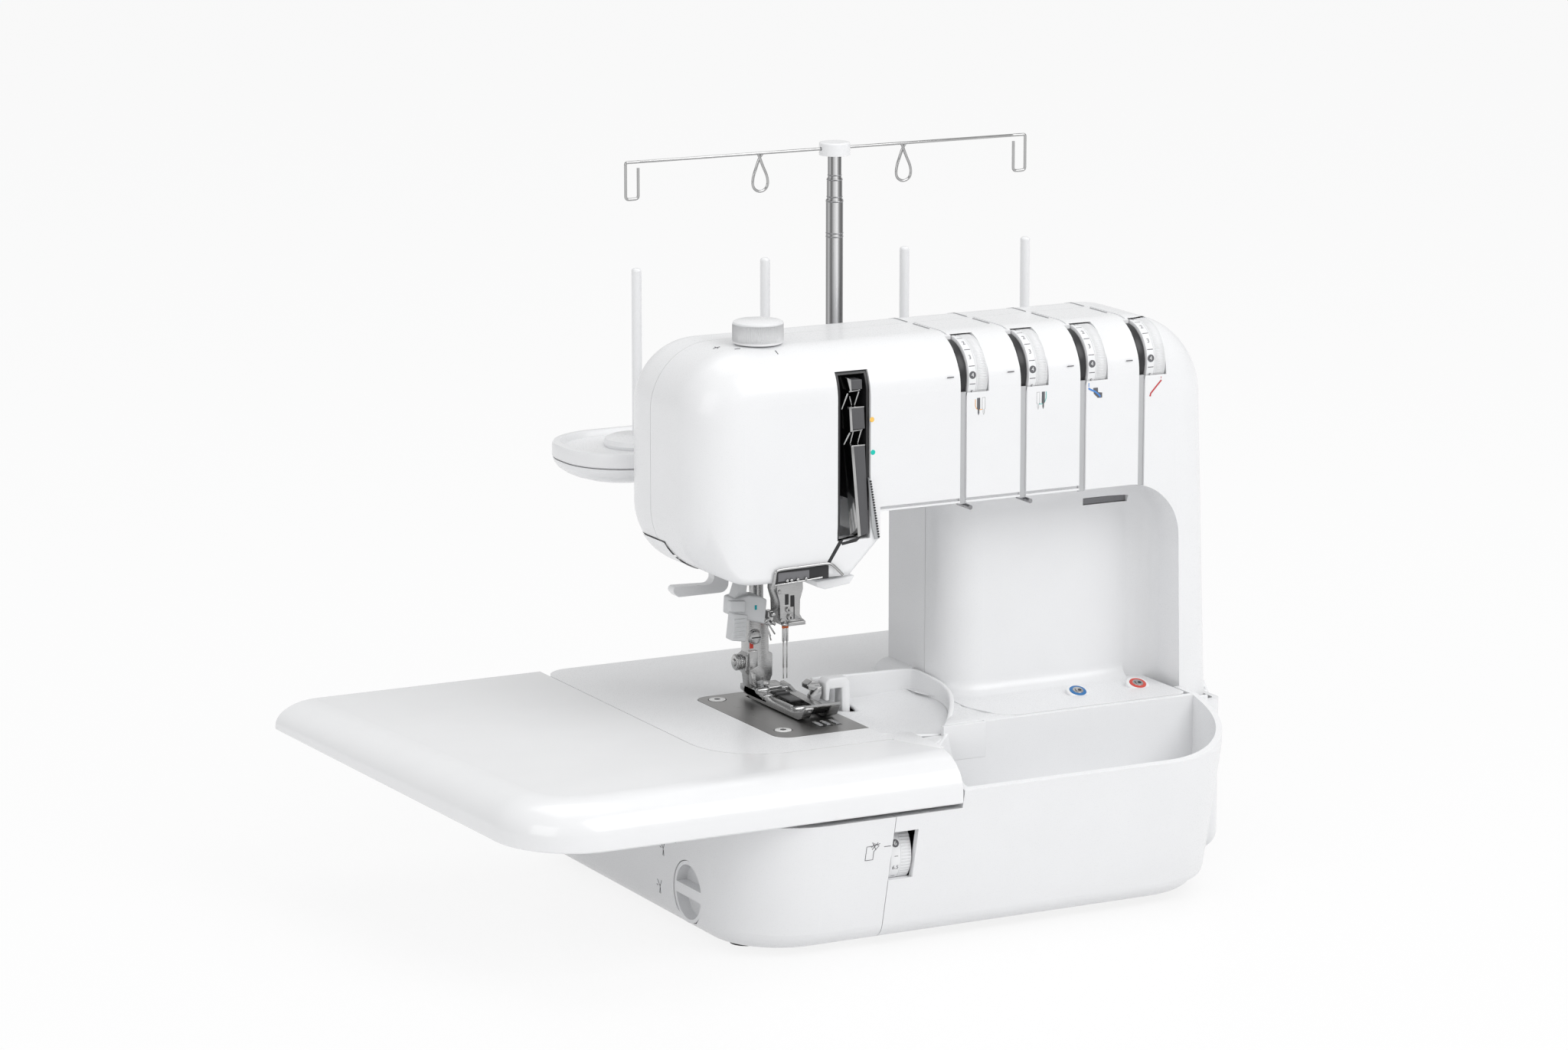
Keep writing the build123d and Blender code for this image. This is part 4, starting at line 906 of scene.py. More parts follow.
class OVERLOCK_OT_front_prints(bpy.types.Operator):
    """Prints the index lines, thread signs and dots, and paints shade in the thread slots with grey plates and grey
    lines
    """

    bl_idname = "overlock.front_prints"
    bl_label = "Front prints"

    def execute(self, context):
        lift = FACE - 0.02
        # Grey plates just behind the front face in the thread slots: painted shade inside the slots.
        shade_plates = [box((slot - 2.1, FACE + 1.1, 221), (slot + 2.1, FACE + 2.6, 283), 0.2) for slot in SLOTS]
        settle(join(shade_plates), "slot_liners", moulded("slot_shade", (0.5, 0.505, 0.515), 0.4), "frame")
        # Grey lines traced along the thread slots on top of the covers: painted shade in the slot grooves.
        slot_shade_paths = []
        for slot in SLOTS:
            for node, begin, stop, step in (("front_cover", -20, 20, 3), ("rear_cover", 5, 36, 7)):
                spots = [(0, along) for along in range(0, stop, step)]
                slot_shade_paths.append(traced(spots, 0.9, node, (slot - 2.6, begin, ABOVE), DOWN))
        settle(join(slot_shade_paths), "top_slots", moulded("slot_line", (0.34, 0.345, 0.355), 0.5), "frame")
        middle = centre_of("tension_dial_1")[1:]
        shades = [rod((slot - 2.1, *middle), (slot + 2.1, *middle), 19.4, 96, 0.2) for slot in SLOTS]
        settle(join(shades), "dial_shades", black_plastic(), "frame")
        lines = [mark([(0, 0), (4.2, 0)], 0.6, (slot - 10.5, lift, 292), FRONT) for slot in SLOTS]
        for slot, dark, clear in ((SLOTS[0], 9.2, 12.4), (SLOTS[1], 12.2, 9.0)):
            for place, filled in ((dark, True), (clear, False)):
                shape = [(-0.9, 4.2), (0.9, 4.2), (0.9, -1.8), (0.4, -2.4), (0.4, -4.2), (0, -5.4), (-0.4, -4.2),
                         (-0.4, -2.4), (-0.9, -1.8)]
                spot = (slot + place, lift, 275)
                if filled:
                    lines.append(plate(shape, 0.1, spot, FRONT, 0.03, 1))
                lines.append(mark(shape, 0.2, spot, FRONT, True))
        lines.append(plate([(6.2, 2.6), (9.2, 2.6), (9.4, 0), (12, -0.4), (12, -3.2), (9.2, -3.2), (6.6, -0.6)], 0.08,
                           (SLOTS[2], lift, 276), FRONT, 0.03, 1))
        settle(join(lines), "front_lines", ink_print(), "frame")
        signs = (
            ("left_needle_sign", "thread_orange", (0.9, 0.42, 0.08), (SLOTS[0], lift - 0.05, 275),
             (([(7.2, 3.6), (7.2, 0), (7.9, -1.6), (9.2, -2.4), (11.4, -2.2)], 0.4),)),
            ("right_needle_sign", "thread_teal", (0.02, 0.5, 0.45), (SLOTS[1], lift - 0.05, 275),
             (([(14.0, 4.2), (14.0, 0.6), (13.2, -1.4), (11.6, -2.4), (9.6, -2.4)], 0.4),)),
            ("upper_looper_sign", "thread_blue", (0.08, 0.26, 0.68), (SLOTS[2], lift - 0.1, 276),
             (([(3.4, 5.6), (3.4, 3.4)], 0.4),
              ([(3.2, 2.6), (4.6, 1.8), (7.6, 0.4), (9.8, -1.4), (10.8, -2.6)], 0.95))),
            ("lower_looper_sign", "thread_red", (0.55, 0.06, 0.07), (SLOTS[3], lift - 0.05, 275),
             (([(12.2, 6.4), (12.2, 5.4)], 0.4), ([(5.2, -4.2), (5.6, -2.6), (8.6, 0.6), (12.4, 4.4)], 0.95))),
        )
        for name, ink, colour, place, strokes in signs:
            made = join([mark(points, width, place, FRONT) for points, width in strokes])
            settle(made, name, ink_print(ink, colour), "frame")
        for name, ink, colour, x, z in (
                ("orange_thread_dot", "dot_yellow", (0.9, 0.55, 0.12), -55.3, 273),
                ("teal_thread_dot", "dot_teal", (0.0, 0.56, 0.46), -54.6, 255)):
            settle(dot(1.4, (x, lift, z), FRONT), name, ink_print(ink, colour), "frame")
        return {"FINISHED"}


class OVERLOCK_OT_take_up(bpy.types.Operator):
    """Models the thread plates and levers in the take-up slot"""

    bl_idname = "overlock.take_up"
    bl_label = "Take-up slot"

    def execute(self, context):
        front, back = FACE + 0.2, FACE + 9.0
        covers = [front_plate(points, front, back) for points in (
            [(-67.6, 290.2), (-61.2, 290.2), (-61.4, 295.4), (-68, 295.4)],
            [(-66.8, 268.4), (-59.4, 268.4), (-60, 280), (-67.6, 280)],
            [(-61.6, 209.6), (-56.8, 210.6), (-59.4, 259), (-66.2, 259)])]
        settle(join(covers), "thread_plates", moulded("plate_charcoal", (0.085, 0.085, 0.09), 0.42), "frame")
        edges = [front_plate(points, front - proud, back, width) for points, proud, width in (
            ([(-68.6, 289.6), (-67.7, 289.8), (-68.1, 296), (-70.6, 297)], 0.3, 0.2),
            ([(-68.4, 267.6), (-66.9, 268), (-67.7, 280.6), (-69.2, 281)], 0.3, 0.2),
            ([(-63.6, 209.2), (-61.7, 209.6), (-66.3, 259.4), (-68, 259.6)], 0.3, 0.2),
            ([(-68.2, 280.1), (-60, 280.1), (-60, 280.7), (-68.2, 280.7)], 0.1, 0.1),
            ([(-67.4, 259.1), (-59.4, 259.1), (-59.4, 259.8), (-67.4, 259.8)], 0.1, 0.1))]
        for (x, y, z), (to_x, to_y, to_z), radius in (
                ((-68.6, 3, 288), (-71.8, 4, 279.4), 0.55), ((-61.8, 3, 288.6), (-63.4, 5, 281), 0.5),
                ((-66.4, 5, 286), (-65.2, 5, 281), 0.4), ((-67.2, 3, 266.4), (-70.4, 4, 260), 0.55),
                ((-64.6, 4, 267), (-66, 5, 260), 0.45), ((-60.2, 3, 267.4), (-61.4, 5, 260), 0.5),
                ((-68.2, 2.6, 289), (-61.4, 2.6, 289.4), 0.5), ((-67.4, 2.6, 267.2), (-59.8, 2.6, 267.6), 0.5)):
            edges.append(bar((x, FACE + y, z), (to_x, FACE + to_y, to_z), radius))
        settle(join(edges), "take_up_edges", steel_edge(), "frame")
        blade = front_plate(
            [(-57.4, 241.5), (-56.4, 240), (-51, 207.4), (-53.6, 207.2), (-55.6, 214)], FACE - 1.2, FACE + 0.6, 0.15)
        settle(blade, "cut_lever", moulded("lever_grey", (0.42, 0.43, 0.44), 0.4), "frame")
        teeth = []
        for step in range(22):
            share = step / 22
            x, z = -56.4 + 5.4 * share, 240 - 32.4 * share
            tooth = [(x - 0.9, z), (x + 0.35, z - 0.2), (x + 0.35, z - 0.95), (x - 0.8, z - 1.1)]
            teeth.append(front_plate(tooth, FACE - 1.5, FACE - 1.0, 0.08, 1))
        settle(join(teeth), "cut_lever_teeth", black_plastic(), "frame")
        slit, foot = (front_plate(points, FACE - 0.12, FACE + 0.4, 0.05, 1) for points in (
            [(-75.2, 208.4), (-72.6, 208.4), (-80.6, 196.4), (-83, 196.4)],
            [(-74, 207.2), (-62, 209.0), (-64.4, 206.8), (-73.4, 205.6)]))
        settle(join([slit, foot]), "thread_slit", black_plastic(), "frame")
        return {"FINISHED"}


class OVERLOCK_OT_head_guides(bpy.types.Operator):
    """Models the thread guides under the head, the thread cutter and the pressure knob"""

    bl_idname = "overlock.head_guides"
    bl_label = "Head guides"

    def execute(self, context):
        y = FACE - 0.6
        tray = box((-114.2, y + 0.2, 188.2), (-81.6, y + 6, 195.8), 0.4)
        settle(tray, "guide_tray", black_plastic(), "frame")
        inner = box((-112.6, y - 0.1, 189.4), (-93.6, y + 1.4, 194.2), 0.3)
        settle(inner, "guide_tray_plate", moulded("plate_charcoal_light", (0.16, 0.16, 0.17), 0.4), "frame")
        wires = [
            round_wire([(-115, y + 1, 187.4), (-115, y - 0.6, 190), (-114.8, y - 0.8, 194), (-114, y - 0.8, 196.2),
                        (-104, y - 0.8, 196.4), (-92, y - 0.8, 196.6), (-83, y - 0.8, 197), (-80, y - 1, 196),
                        (-77, y - 1.4, 193), (-74, y - 1.6, 189.8)], 0.8),
            round_wire([(-115, y + 1, 187.4), (-108, y - 0.4, 188.2), (-98, y - 0.4, 188.6), (-86, y - 0.2, 189.4)],
                       0.6),
        ]
        for x in (-107.4, -104.8, -101, -96):
            deselect()
            bpy.ops.mesh.primitive_uv_sphere_add(
                segments=20, ring_count=12, radius=1.0 * MM, location=mm(x, y - 0.6, 189.8))
            bpy.ops.object.shade_smooth()
            wires.append(context.object)
        settle(join(wires), "guide_wires", steel_edge(), "frame")
        tab = front_plate([(-86, 185.4), (-62, 186.6), (-65, 182.4), (-80, 180.6), (-85, 182.4)], -48, -30, 0.6)
        settle(tab, "guide_tab", white_gloss(), "frame")
        cap = bpy.data.objects.new("thread_cutter_cap", NODES["thread_cutter"].data.copy())
        context.collection.objects.link(cap)
        only(cap)
        modify(cap, "DISPLACE", strength=0.7 * MM, mid_level=0.0)
        settle(cap, "thread_cutter_cap", white_gloss(), "frame")
        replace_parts(cap, "thread_cutter")
        low, high = span("pressure_knob")
        centre, top = centre_of("pressure_knob")[:2], high[2]
        grip = ribbed_wheel((*centre, top - 6.4), (0, 0, 1), 13.9, 12.4, 36, 0.8, 1.6)
        stem = bar((*centre, low[2]), (*centre, top - 8), 6.5)
        crown = bar((*centre, top - 1.2), (*centre, top), 11.6, 64)
        knob = settle(join([grip, stem, crown]), "pressure_knob_grip", white_gloss(), "pressure_knob")
        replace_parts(knob, "pressure_knob")
        signs = []
        for points, spot in (
                ([(-2, 0), (2, 0)], (-24, 2)), ([(0, -2), (0, 2)], (-24, 2)), ([(-1.6, 0), (1.6, 0)], (-17, -9)),
                ([(0, -1.6), (0, 1.6)], (2, -18))):
            place = (centre[0] + spot[0], centre[1] + spot[1], ABOVE)
            signs.append(traced(points, 0.6, "front_cover", place, DOWN))
        settle(join(signs), "pressure_signs", ink_print(), "frame")
        return {"FINISHED"}


class OVERLOCK_OT_needle_area(bpy.types.Operator):
    """Models the needle clamp, the threader, the ankle, the foot and the plate's fittings"""

    bl_idname = "overlock.needle_area"
    bl_label = "Needle area"

    def clamp(self):
        x = centre_of("needle_clamp")[0]
        body = front_plate(
            [(x - 8, 174), (x + 8, 174), (x + 8.2, 169), (x + 6.4, 163), (x + 6.2, 155), (x + 7.6, 152.4),
             (x + 9.4, 151), (x + 9, 149.8), (x - 6, 150), (x - 6.4, 163), (x - 8.2, 169)], 5.6, 17.4, 0.5)
        extras = [box((x - 2, 3.4, 149.2), (x + 8.6, 6.4, 151.4), 0.4),
                  bar((x - 6.2, 3.6, 150.6), (x - 3, 3.6, 150.2), 0.8)]
        for across, front, back, z, radius in (
                (-6.6, 4.9, 6.4, 168.6, 1.2), (-1.6, 4.2, 6.2, 158.2, 1.5), (-0.4, 4.0, 6.2, 153.8, 1.8),
                (-5.4, 4.6, 6.2, 152.4, 1.1)):
            extras.append(bar((x + across, front, z), (x + across, back, z), radius))
        made = settle(join([body, *extras]), "needle_holder", steel(), "needle_group")
        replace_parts(made, "needle_clamp")
        slots = [
            box((x - 3.2, 5.3, 161), (x - 1, 5.9, 167), 0.2), box((x + 0.2, 5.3, 159.6), (x + 2.6, 5.9, 166), 0.2),
            box((x + 2.2, 5.4, 152.6), (x + 2.7, 5.9, 165), 0.1),
            bar((x - 1.6, 4.0, 158.2), (x - 1.6, 4.4, 158.2), 0.5),
            bar((x - 0.4, 3.8, 153.8), (x - 0.4, 4.2, 153.8), 0.6),
        ]
        settle(join(slots), "needle_holder_slots", black_plastic(), "needle_group")
        low, high = span("needles")
        foot, top = low[2], high[2]
        sides = (("left", low[0] + 0.8), ("right", high[0] - 0.8))
        blades = []
        for name, x in sides:
            for begin, end, radius in ((139, top, 0.8), (foot + 6, 140, 0.48), (foot, foot + 7, 0.34)):
                blades.append(bar((x, NEEDLE_Y, begin), (x, NEEDLE_Y, end), radius))
        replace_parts(settle(join(blades), "needle_pair", steel_edge(), "needle_group"), "needles")
        for name, x in sides:
            settle(bar((x, NEEDLE_Y, 146.4), (x, NEEDLE_Y, 148), 0.95), name + "_needle_mark",
                   ink_print("needle_orange", (0.75, 0.16, 0.04)), "needle_group")

    def threader(self):
        collar = [
            front_plate([(-106.4, 166), (-99, 166), (-97.6, 178), (-94, 186), (-91, 190), (-91, 232), (-99, 232),
                         (-100, 184), (-103, 176)], 9, 17, 0.8),
            front_plate([(-108, 157.4), (-89, 151.4), (-87.4, 165), (-91, 167), (-99, 168.6), (-107.4, 167)],
                        6, 20, 0.9),
            front_plate([(-111, 161), (-102, 159.6), (-101.4, 166), (-111, 167)], 4.4, 8, 0.6),
            front_plate([(-110.4, 144.6), (-101.4, 143), (-100.4, 158), (-108.6, 159.6)], 4.2, 12, 0.8),
        ]
        for step in range(5):
            z = 146.2 + step * 2.3
            collar.append(box((-108.8, 3.5, z), (-102.2, 4.6, z + 1.0), 0.3))
        made = settle(
            join(collar), "threader_lever", moulded("threader_white", (0.62, 0.63, 0.64), 0.38), "threader")
        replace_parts(made, "needle_threader")
        settle(plate([(-0.7, -1.3), (0.7, -1.3), (0.7, 1.3), (-0.7, 1.3)], 0.12, (-94.6, 5.95, 161.4), FRONT, 0.05, 1),
               "threader_sign", ink_print("threader_teal", (0.0, 0.3, 0.34)), "threader")
        hooks = [
            box((-86.4, 7.4, 150), (-82.6, 13, 158), 0.5), bar((-85.6, 6, 156.4), (-83, 6, 156.4), 1.6),
            bar((-85, 5.6, 152.4), (-82.8, 5.6, 150.6), 0.8), bar((-86, 6.6, 150.4), (-82.4, 6.6, 145), 0.45),
            bar((-87.4, 7, 150.6), (-84.6, 7, 141.6), 0.4), bar((-86.8, 8.6, 150.4), (-84, 8.6, 143.6), 0.35),
            bar((-88.4, 7.6, 152), (-85.6, 6.6, 154.4), 0.9),
        ]
        settle(join(hooks), "threader_hooks", steel_edge(), "threader")

    def ankle(self):
        x = -83.0
        body = front_plate(
            [(x - 6.6, 153.8), (x + 5.4, 153.8), (x + 5.8, 131), (x + 8, 130), (x + 8, 117.6), (x + 6.6, 114.6),
             (x + 5.6, 111.2), (x - 5.6, 111.2), (x - 6.4, 118), (x - 9, 121.4), (x - 9, 129.6), (x - 6.8, 131)],
            23.6, 33.4, 0.6)
        lug = front_plate([(x - 7.6, 133), (x - 2.4, 133), (x - 2.4, 124), (x - 7.6, 122)], 21.4, 24, 0.4)
        dome = bar((x - 3.4, 21.2, 140.4), (x - 3.4, 24, 140.4), 3.7, 40)
        ring = bar((x - 3.4, 22.8, 140.4), (x - 3.4, 24, 140.4), 4.4, 40)
        web = front_plate([(x - 7.4, 122), (x - 4, 119.6), (x - 3.6, 112), (x - 6.4, 114)], 20.6, 23.8, 0.3)
        made = settle(join([body, lug, dome, ring, web]), "foot_ankle", steel(), "presser")
        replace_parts(made, "presser_ankle")
        y, z = 26, 126.6
        knurl = ribbed_wheel((x - 12.4, y, z), ALONG, 4.2, 4.6, 22, 0.35, 0.4)
        stem = bar((x - 15.6, y, z), (x - 8.6, y, z), 2.2)
        collars = [bar((x - 14.2 + step * 1.5, y, z), (x - 13.5 + step * 1.5, y, z), 4.7, 36) for step in range(3)]
        settle(join([knurl, stem, *collars]), "ankle_screw", steel_edge(), "presser")
        settle(front_plate([(x - 6.4, 134), (x - 4.2, 134), (x - 4.2, 139.6), (x - 6.4, 139.6)], 23.2, 23.7, 0.1),
               "ankle_mark", ink_print("ankle_red", (0.62, 0.05, 0.03)), "presser")
        slot = box((x - 6.2, 20.9, 140.1), (x - 0.6, 21.3, 140.7), 0.1)
        settle(slot, "ankle_slot", black_plastic(), "presser")

    def foot(self):
        pieces = [side_plate(points, left, right, 0.4) for points, left, right in (
            ([(40, 108.6), (40, 110.8), (20, 110.8), (4, 108.2), (-22, 107.8), (-32, 109.6), (-37.6, 113), (-38, 112),
              (-33, 106), (-29, 104.6), (28, 104.6)], -87, -81.6),
            ([(40, 108.6), (40, 110.2), (14, 109.6), (-20, 108.4), (-32, 110.4), (-37.6, 114.4), (-38, 113),
              (-33, 106.4), (-29, 104.6), (28, 104.6)], -71, -64.6),
            ([(-21, 106.4), (-21, 108.2), (-30, 109.8), (-38, 114.6), (-38, 113), (-31, 107.4)], -86.6, -65),
            ([(40, 107.4), (40, 109.4), (16, 109.4), (16, 106.4), (30, 106)], -87, -64.6),
            ([(33, 106), (33, 117), (30, 118), (25, 117.6), (22, 112), (15, 108)], -85, -81),
            ([(36, 106), (34, 113.6), (26, 114), (20, 109), (8, 107.6), (8, 106)], -87, -85.6),
            ([(30, 106), (28, 112.6), (20, 112), (10, 109), (10, 107)], -68, -65.6))]
        pieces += [
            box((-81.6, 16, 108.6), (-71, 31, 110.4), 0.4), bar((-87, 20, 110.4), (-66, 20, 110.4), 1.7),
            bar((-86.6, -24, 109.4), (-79, -24, 109.4), 1.4), box((-80.6, 17.4, 110), (-72, 27, 112.6), 0.6),
            bar((-87.4, 12, 108.6), (-81.4, 12, 108.6), 1.5), box((-84.6, -16, 107.6), (-82.6, 10, 109.4), 0.3),
        ]
        made = settle(join(pieces), "standard_foot", steel(), "foot")
        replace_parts(made, "presser_foot")
        finger = [
            front_plate([(-64.6, 106), (-59.4, 106), (-57.6, 110), (-57.6, 114.6), (-61.4, 113), (-64.6, 110)],
                        -2, 2.4, 0.4),
            front_plate([(-66, 113.4), (-60.4, 111.8), (-57.8, 114.8), (-58.8, 116.6), (-63.4, 118), (-66.4, 116)],
                        -1.4, 6, 0.5),
        ]
        settle(join(finger), "fabric_guide", steel_edge(), "foot")
        pads = [box((-79.8, -6, 108.6), (-72.4, 8, 109.8), 0.3), box((-80.6, 8.2, 109.4), (-72, 9.8, 111), 0.4),
                box((-80.6, 13.2, 109.4), (-72, 15.6, 111), 0.4), box((-81, -19, 106.4), (-76.6, -9, 107.4), 0.2)]
        settle(join(pads), "foot_springs", moulded("foot_black", (0.05, 0.05, 0.052), 0.4), "foot")

    def plate_fittings(self):
        top = span("needle_plate")[1][2]
        sockets, heads = [], []
        low, high = span("plate_screws")
        x = (low[0] + high[0]) / 2
        for y in (low[1] + 5, high[1] - 5):
            heads.append(top_plate(round_points(4.7, 40, (x, y)), top - 4, top + 0.36, 0.4))
            sockets.append(top_plate(round_points(1.9, 6, (x, y)), top + 0.3, top + 0.42, 0.04, 1))
            sockets.append(mark(round_points(4.85, 40), 0.35, (x, y, top + 0.02), TOP, True))
        bright = moulded("screw_bright", (0.78, 0.78, 0.77), 0.25)
        made = settle(join(heads), "plate_screw_heads", bright, "frame")
        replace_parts(made, "plate_screws")
        for x in FEED_XS:
            slot = [(x - 1.7, -47), (x + 1.7, -47), (x + 1.7, -36), (x - 1.7, -36)]
            sockets.append(top_plate(slot, top - 0.2, top + 0.05, 0.02, 1))
        settle(join(sockets), "plate_slots", black_plastic(), "frame")
        teeth = []
        for x in FEED_XS:
            for step in range(6):
                y = -45 + step * 1.6
                tooth = [(y, top - 0.1), (y + 1.3, top + 0.75), (y + 1.5, top - 0.1)]
                teeth.append(side_plate(tooth, x - 1.2, x + 1.2, 0.06, 1))
        settle(join(teeth), "feed_teeth", steel_edge(), "feed")
        size = mark([(-1.6, 0), (1.6, 0)], 0.3, (-101, 14, top + 0.02), TOP)
        settle(size, "plate_line", ink_print("plate_ink", (0.2, 0.2, 0.2)), "frame")

    def execute(self, context):
        self.clamp()
        self.threader()
        self.ankle()
        self.foot()
        self.plate_fittings()
        return {"FINISHED"}


class OVERLOCK_OT_base_controls(bpy.types.Operator):
    """Models the ports, the cutting width dial, the knife knob's signs and the side controls"""

    bl_idname = "overlock.base_controls"
    bl_label = "Base controls"

    def ports(self):
        low, high = span("looper_ports")
        y = (low[1] + high[1]) / 2 + 0.6
        bed = high[2] - 1.5 - 1.6
        lean = (math.radians(20), 0, 0)
        seats, cores, holes = [], [], []
        for x, name, colour in (
                (low[0] + 7.5, "blue", (0.02, 0.2, 0.62)), (high[0] - 7.5, "red", (0.6, 0.07, 0.05))):
            place = (x, y, bed)
            seats.append(plate(round_points(6.8, 48), 3.4, place, lean, 0.8))
            ring = plate(round_points(4.9, 48), 3.8, place, lean, 0.4)
            settle(ring, name + "_port_ring", moulded("port_" + name, colour, 0.35), "frame")
            cores.append(plate(round_points(3.1, 32), 4.0, place, lean, 0.25))
            for points in (round_points(1.1, 20, (0.9, -0.2)), [(-2, -1.3), (-1.5, -1.3), (-1.1, 1.4), (-1.6, 1.4)]):
                holes.append(plate(points, 4.06, place, lean, 0.03, 1))
        made = settle(join(seats), "port_seats", white_gloss(), "frame")
        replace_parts(made, "looper_ports")
        settle(join(cores), "port_cores", steel_edge(), "frame")
        settle(join(holes), "port_holes", black_plastic(), "frame")

    def width_dial(self):
        low, high = span("cutting_width_dial")
        left, right, radius = low[0], high[0], (high[2] - low[2]) / 2
        middle = centre_of("cutting_width_dial")[1:]
        band = rod((left, *middle), (left + 6, *middle), radius - 0.05, 128, 0.3)
        grip = ribbed_wheel(((left + 6 + right) / 2, *middle), ALONG, radius - 0.05, right - left - 6, 66, 0.35)
        made = settle(join([band, grip]), "width_wheel", white_gloss(), "width_dial")
        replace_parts(made, "cutting_width_dial")
        place = (left + 3.2, *middle)
        prints = [dot(2.2, rim_place(place, radius - 0.1, 21), rim_turn(21)),
                  mark([(-1.1, 0), (1.1, 0)], 0.35, rim_place(place, radius - 0.04, 0), rim_turn(0)),
                  mark([(-1.1, 0), (1.1, 0)], 0.35, rim_place(place, radius - 0.04, -38), rim_turn(-38)),
                  digits("6.5", 3.3, rim_place(place, radius, -20), rim_turn(-20))]
        settle(join(prints), "width_numbers", ink_print(), "width_dial")
        shown = digits("6", 3.4, rim_place(place, radius + 0.07, 21), rim_turn(21))
        settle(shown, "width_setting", white_gloss(), "width_dial")

    def base_signs(self):
        signs = []
        lines = (
            [(-5, -4.4), (-5, 3.6), (-1.6, 3.6)],
            [(-5, -4.4), (-0.4, -4.4), (-0.4, 0.4), (2.4, 3.4), (-0.6, 5), (-2, 2.8), (-1.6, 3.6)],
            [(-1.6, 1.6), (1.6, 5.4)], [(-2.6, 3.4), (2.8, 4.6)], [(0.8, 1.2), (-1.8, 5.8)], [(5.6, 2.4), (9.6, 2.4)],
        )
        for points in lines:
            signs.append(traced(points, 0.4, "base_housing", (-97, -200, 57), BACK))
        for y, z in ((-31, 43), (-27, 21)):
            for points in ([(-2.6, 3.4), (0.6, 0.2), (0.2, -3.6)], [(2.4, 3.8), (0.6, 0.2)], [(1.4, -3.8), (0.9, -0.6)],
                           [(-3.4, 0.6), (-1.6, 0.2)]):
                signs.append(traced(points, 0.4, "base_housing", (-220, y, z), ALONG))
        settle(join(signs), "base_signs", ink_print(), "frame")
        x = touch("base_housing", (-220, -46, 51), ALONG)[0]
        settle(dot(2.3, (x + 0.04, -46, 52), LEFT), "side_hole", grey_moulding(), "frame")

    def column_panel(self):
        panel = front_plate(
            [(149.4, 79), (160.6, 79), (160.6, 96.6), (149.4, 96.6)], FACE - 0.5, FACE + 1.5, 0.45)
        settle(panel, "lever_panel", white_gloss(), "frame")
        signs = [mark(points, 0.45, (153.6, FACE - 0.52, 92.4), FRONT) for points in (
            [(-1.5, 0), (1.5, 0)], [(0, -1.5), (0, 1.5)])]
        settle(join(signs), "lever_signs", ink_print(), "frame")

    def side_dials(self):
        for node, body in (("stitch_length_dial", "length_dial"), ("differential_dial", "ratio_dial")):
            low, high = span(node)
            x, y, z = centre_of(node)
            right, radius = high[0], (high[2] - low[2]) / 2
            grip = ribbed_wheel((right - 5.2, y, z), ALONG, radius - 0.1, 10, 40, 0.5, 1.0)
            stem = bar((low[0], y, z), (right - 8, y, z), 3.6)
            cap = bar((right - 1, y, z), (right, y, z), radius - 3.2, 48)
            made = settle(join([grip, stem, cap]), node + "_grip", white_gloss(), body)
            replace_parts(made, node)
            line = box((right - 0.3, y - 0.35, z + 3.5), (right + 0.05, y + 0.35, z + radius - 3.4), 0.05)
            settle(line, node + "_line", ink_print(), body)
        low, high = span("handwheel")
        x, y, z = centre_of("handwheel")
        left, right, radius = low[0], high[0], (high[2] - low[2]) / 2
        rim = ribbed_wheel((x, y, z), ALONG, radius - 0.1, right - left, 60, 0.6, 2.2)
        ring = bar((right - 2, y, z), (right, y, z), radius - 6, 96)
        made = settle(join([rim, ring]), "handwheel_rim", white_gloss(), "drive")
        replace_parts(made, "handwheel")
        dish = bar((right - 1.2, y, z), (right + 0.02, y, z), radius - 10, 96)
        settle(dish, "handwheel_dish", grey_moulding(), "drive")

    def execute(self, context):
        self.ports()
        self.width_dial()
        self.base_signs()
        self.column_panel()
        self.side_dials()
        return {"FINISHED"}


class OVERLOCK_OT_mast_rings(bpy.types.Operator):
    """Models the thread guide's wires and the rolled rings of the telescopic mast"""

    bl_idname = "overlock.mast_rings"
    bl_label = "Mast rings"

    def execute(self, context):
        low, high = span("guide_wire")
        y, top, left, right = centre_of("guide_wire")[1], high[2] - 1.1, low[0], high[0]
        wires = [bar((left + 9, y, top), (right - 9, y, top), 0.85)]
        hook = ((10, 0), (3, 0), (0.9, 0), (0.9, 3), (0.9, 17), (0.9, 20.4), (4.6, 20.6), (8.6, 20.4), (8.6, 17),
                (8.6, 3.4))
        for x, side in ((left, 1), (right, -1)):
            wires.append(round_wire([(x + side * across, y, top - drop) for across, drop in hook], 0.85))
        loop = ((-1.6, 0, 0), (-0.4, 0, 2), (1.4, 0, 7), (4.8, 0, 14), (4.6, 0, 19.6), (0, 0, 22), (-4.6, 0, 19.6),
                (-4.8, 0, 14), (-1.4, 1.4, 7), (0.4, 1.2, 2), (1.6, 0, 0))
        for x in WIRE_DROPS:
            wires.append(round_wire([(x + across, y + behind, top - drop) for across, behind, drop in loop], 0.8))
        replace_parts(settle(join(wires), "thread_wires", steel_edge(), "thread_guide"), "guide_wire")
        for node, body, heights in (
                ("mast_lower", "frame", (1.0, 19.0, 21.0)), ("mast_middle", "mast_middle", (0.8, 10.4)),
                ("mast_upper", "mast_upper", (11.2,))):
            low, high = span(node)
            x, y, z = centre_of(node)
            radius, top = (high[0] - low[0]) / 2, high[2]
            rings = []
            for height in heights:
                deselect()
                bpy.ops.mesh.primitive_torus_add(
                    major_segments=64, minor_segments=10, major_radius=(radius - 0.25) * MM, minor_radius=0.45 * MM,
                    location=mm(x, y, top - height))
                bpy.ops.object.shade_smooth()
                rings.append(context.object)
            settle(join(rings), node + "_rings", chrome(), body)
        return {"FINISHED"}


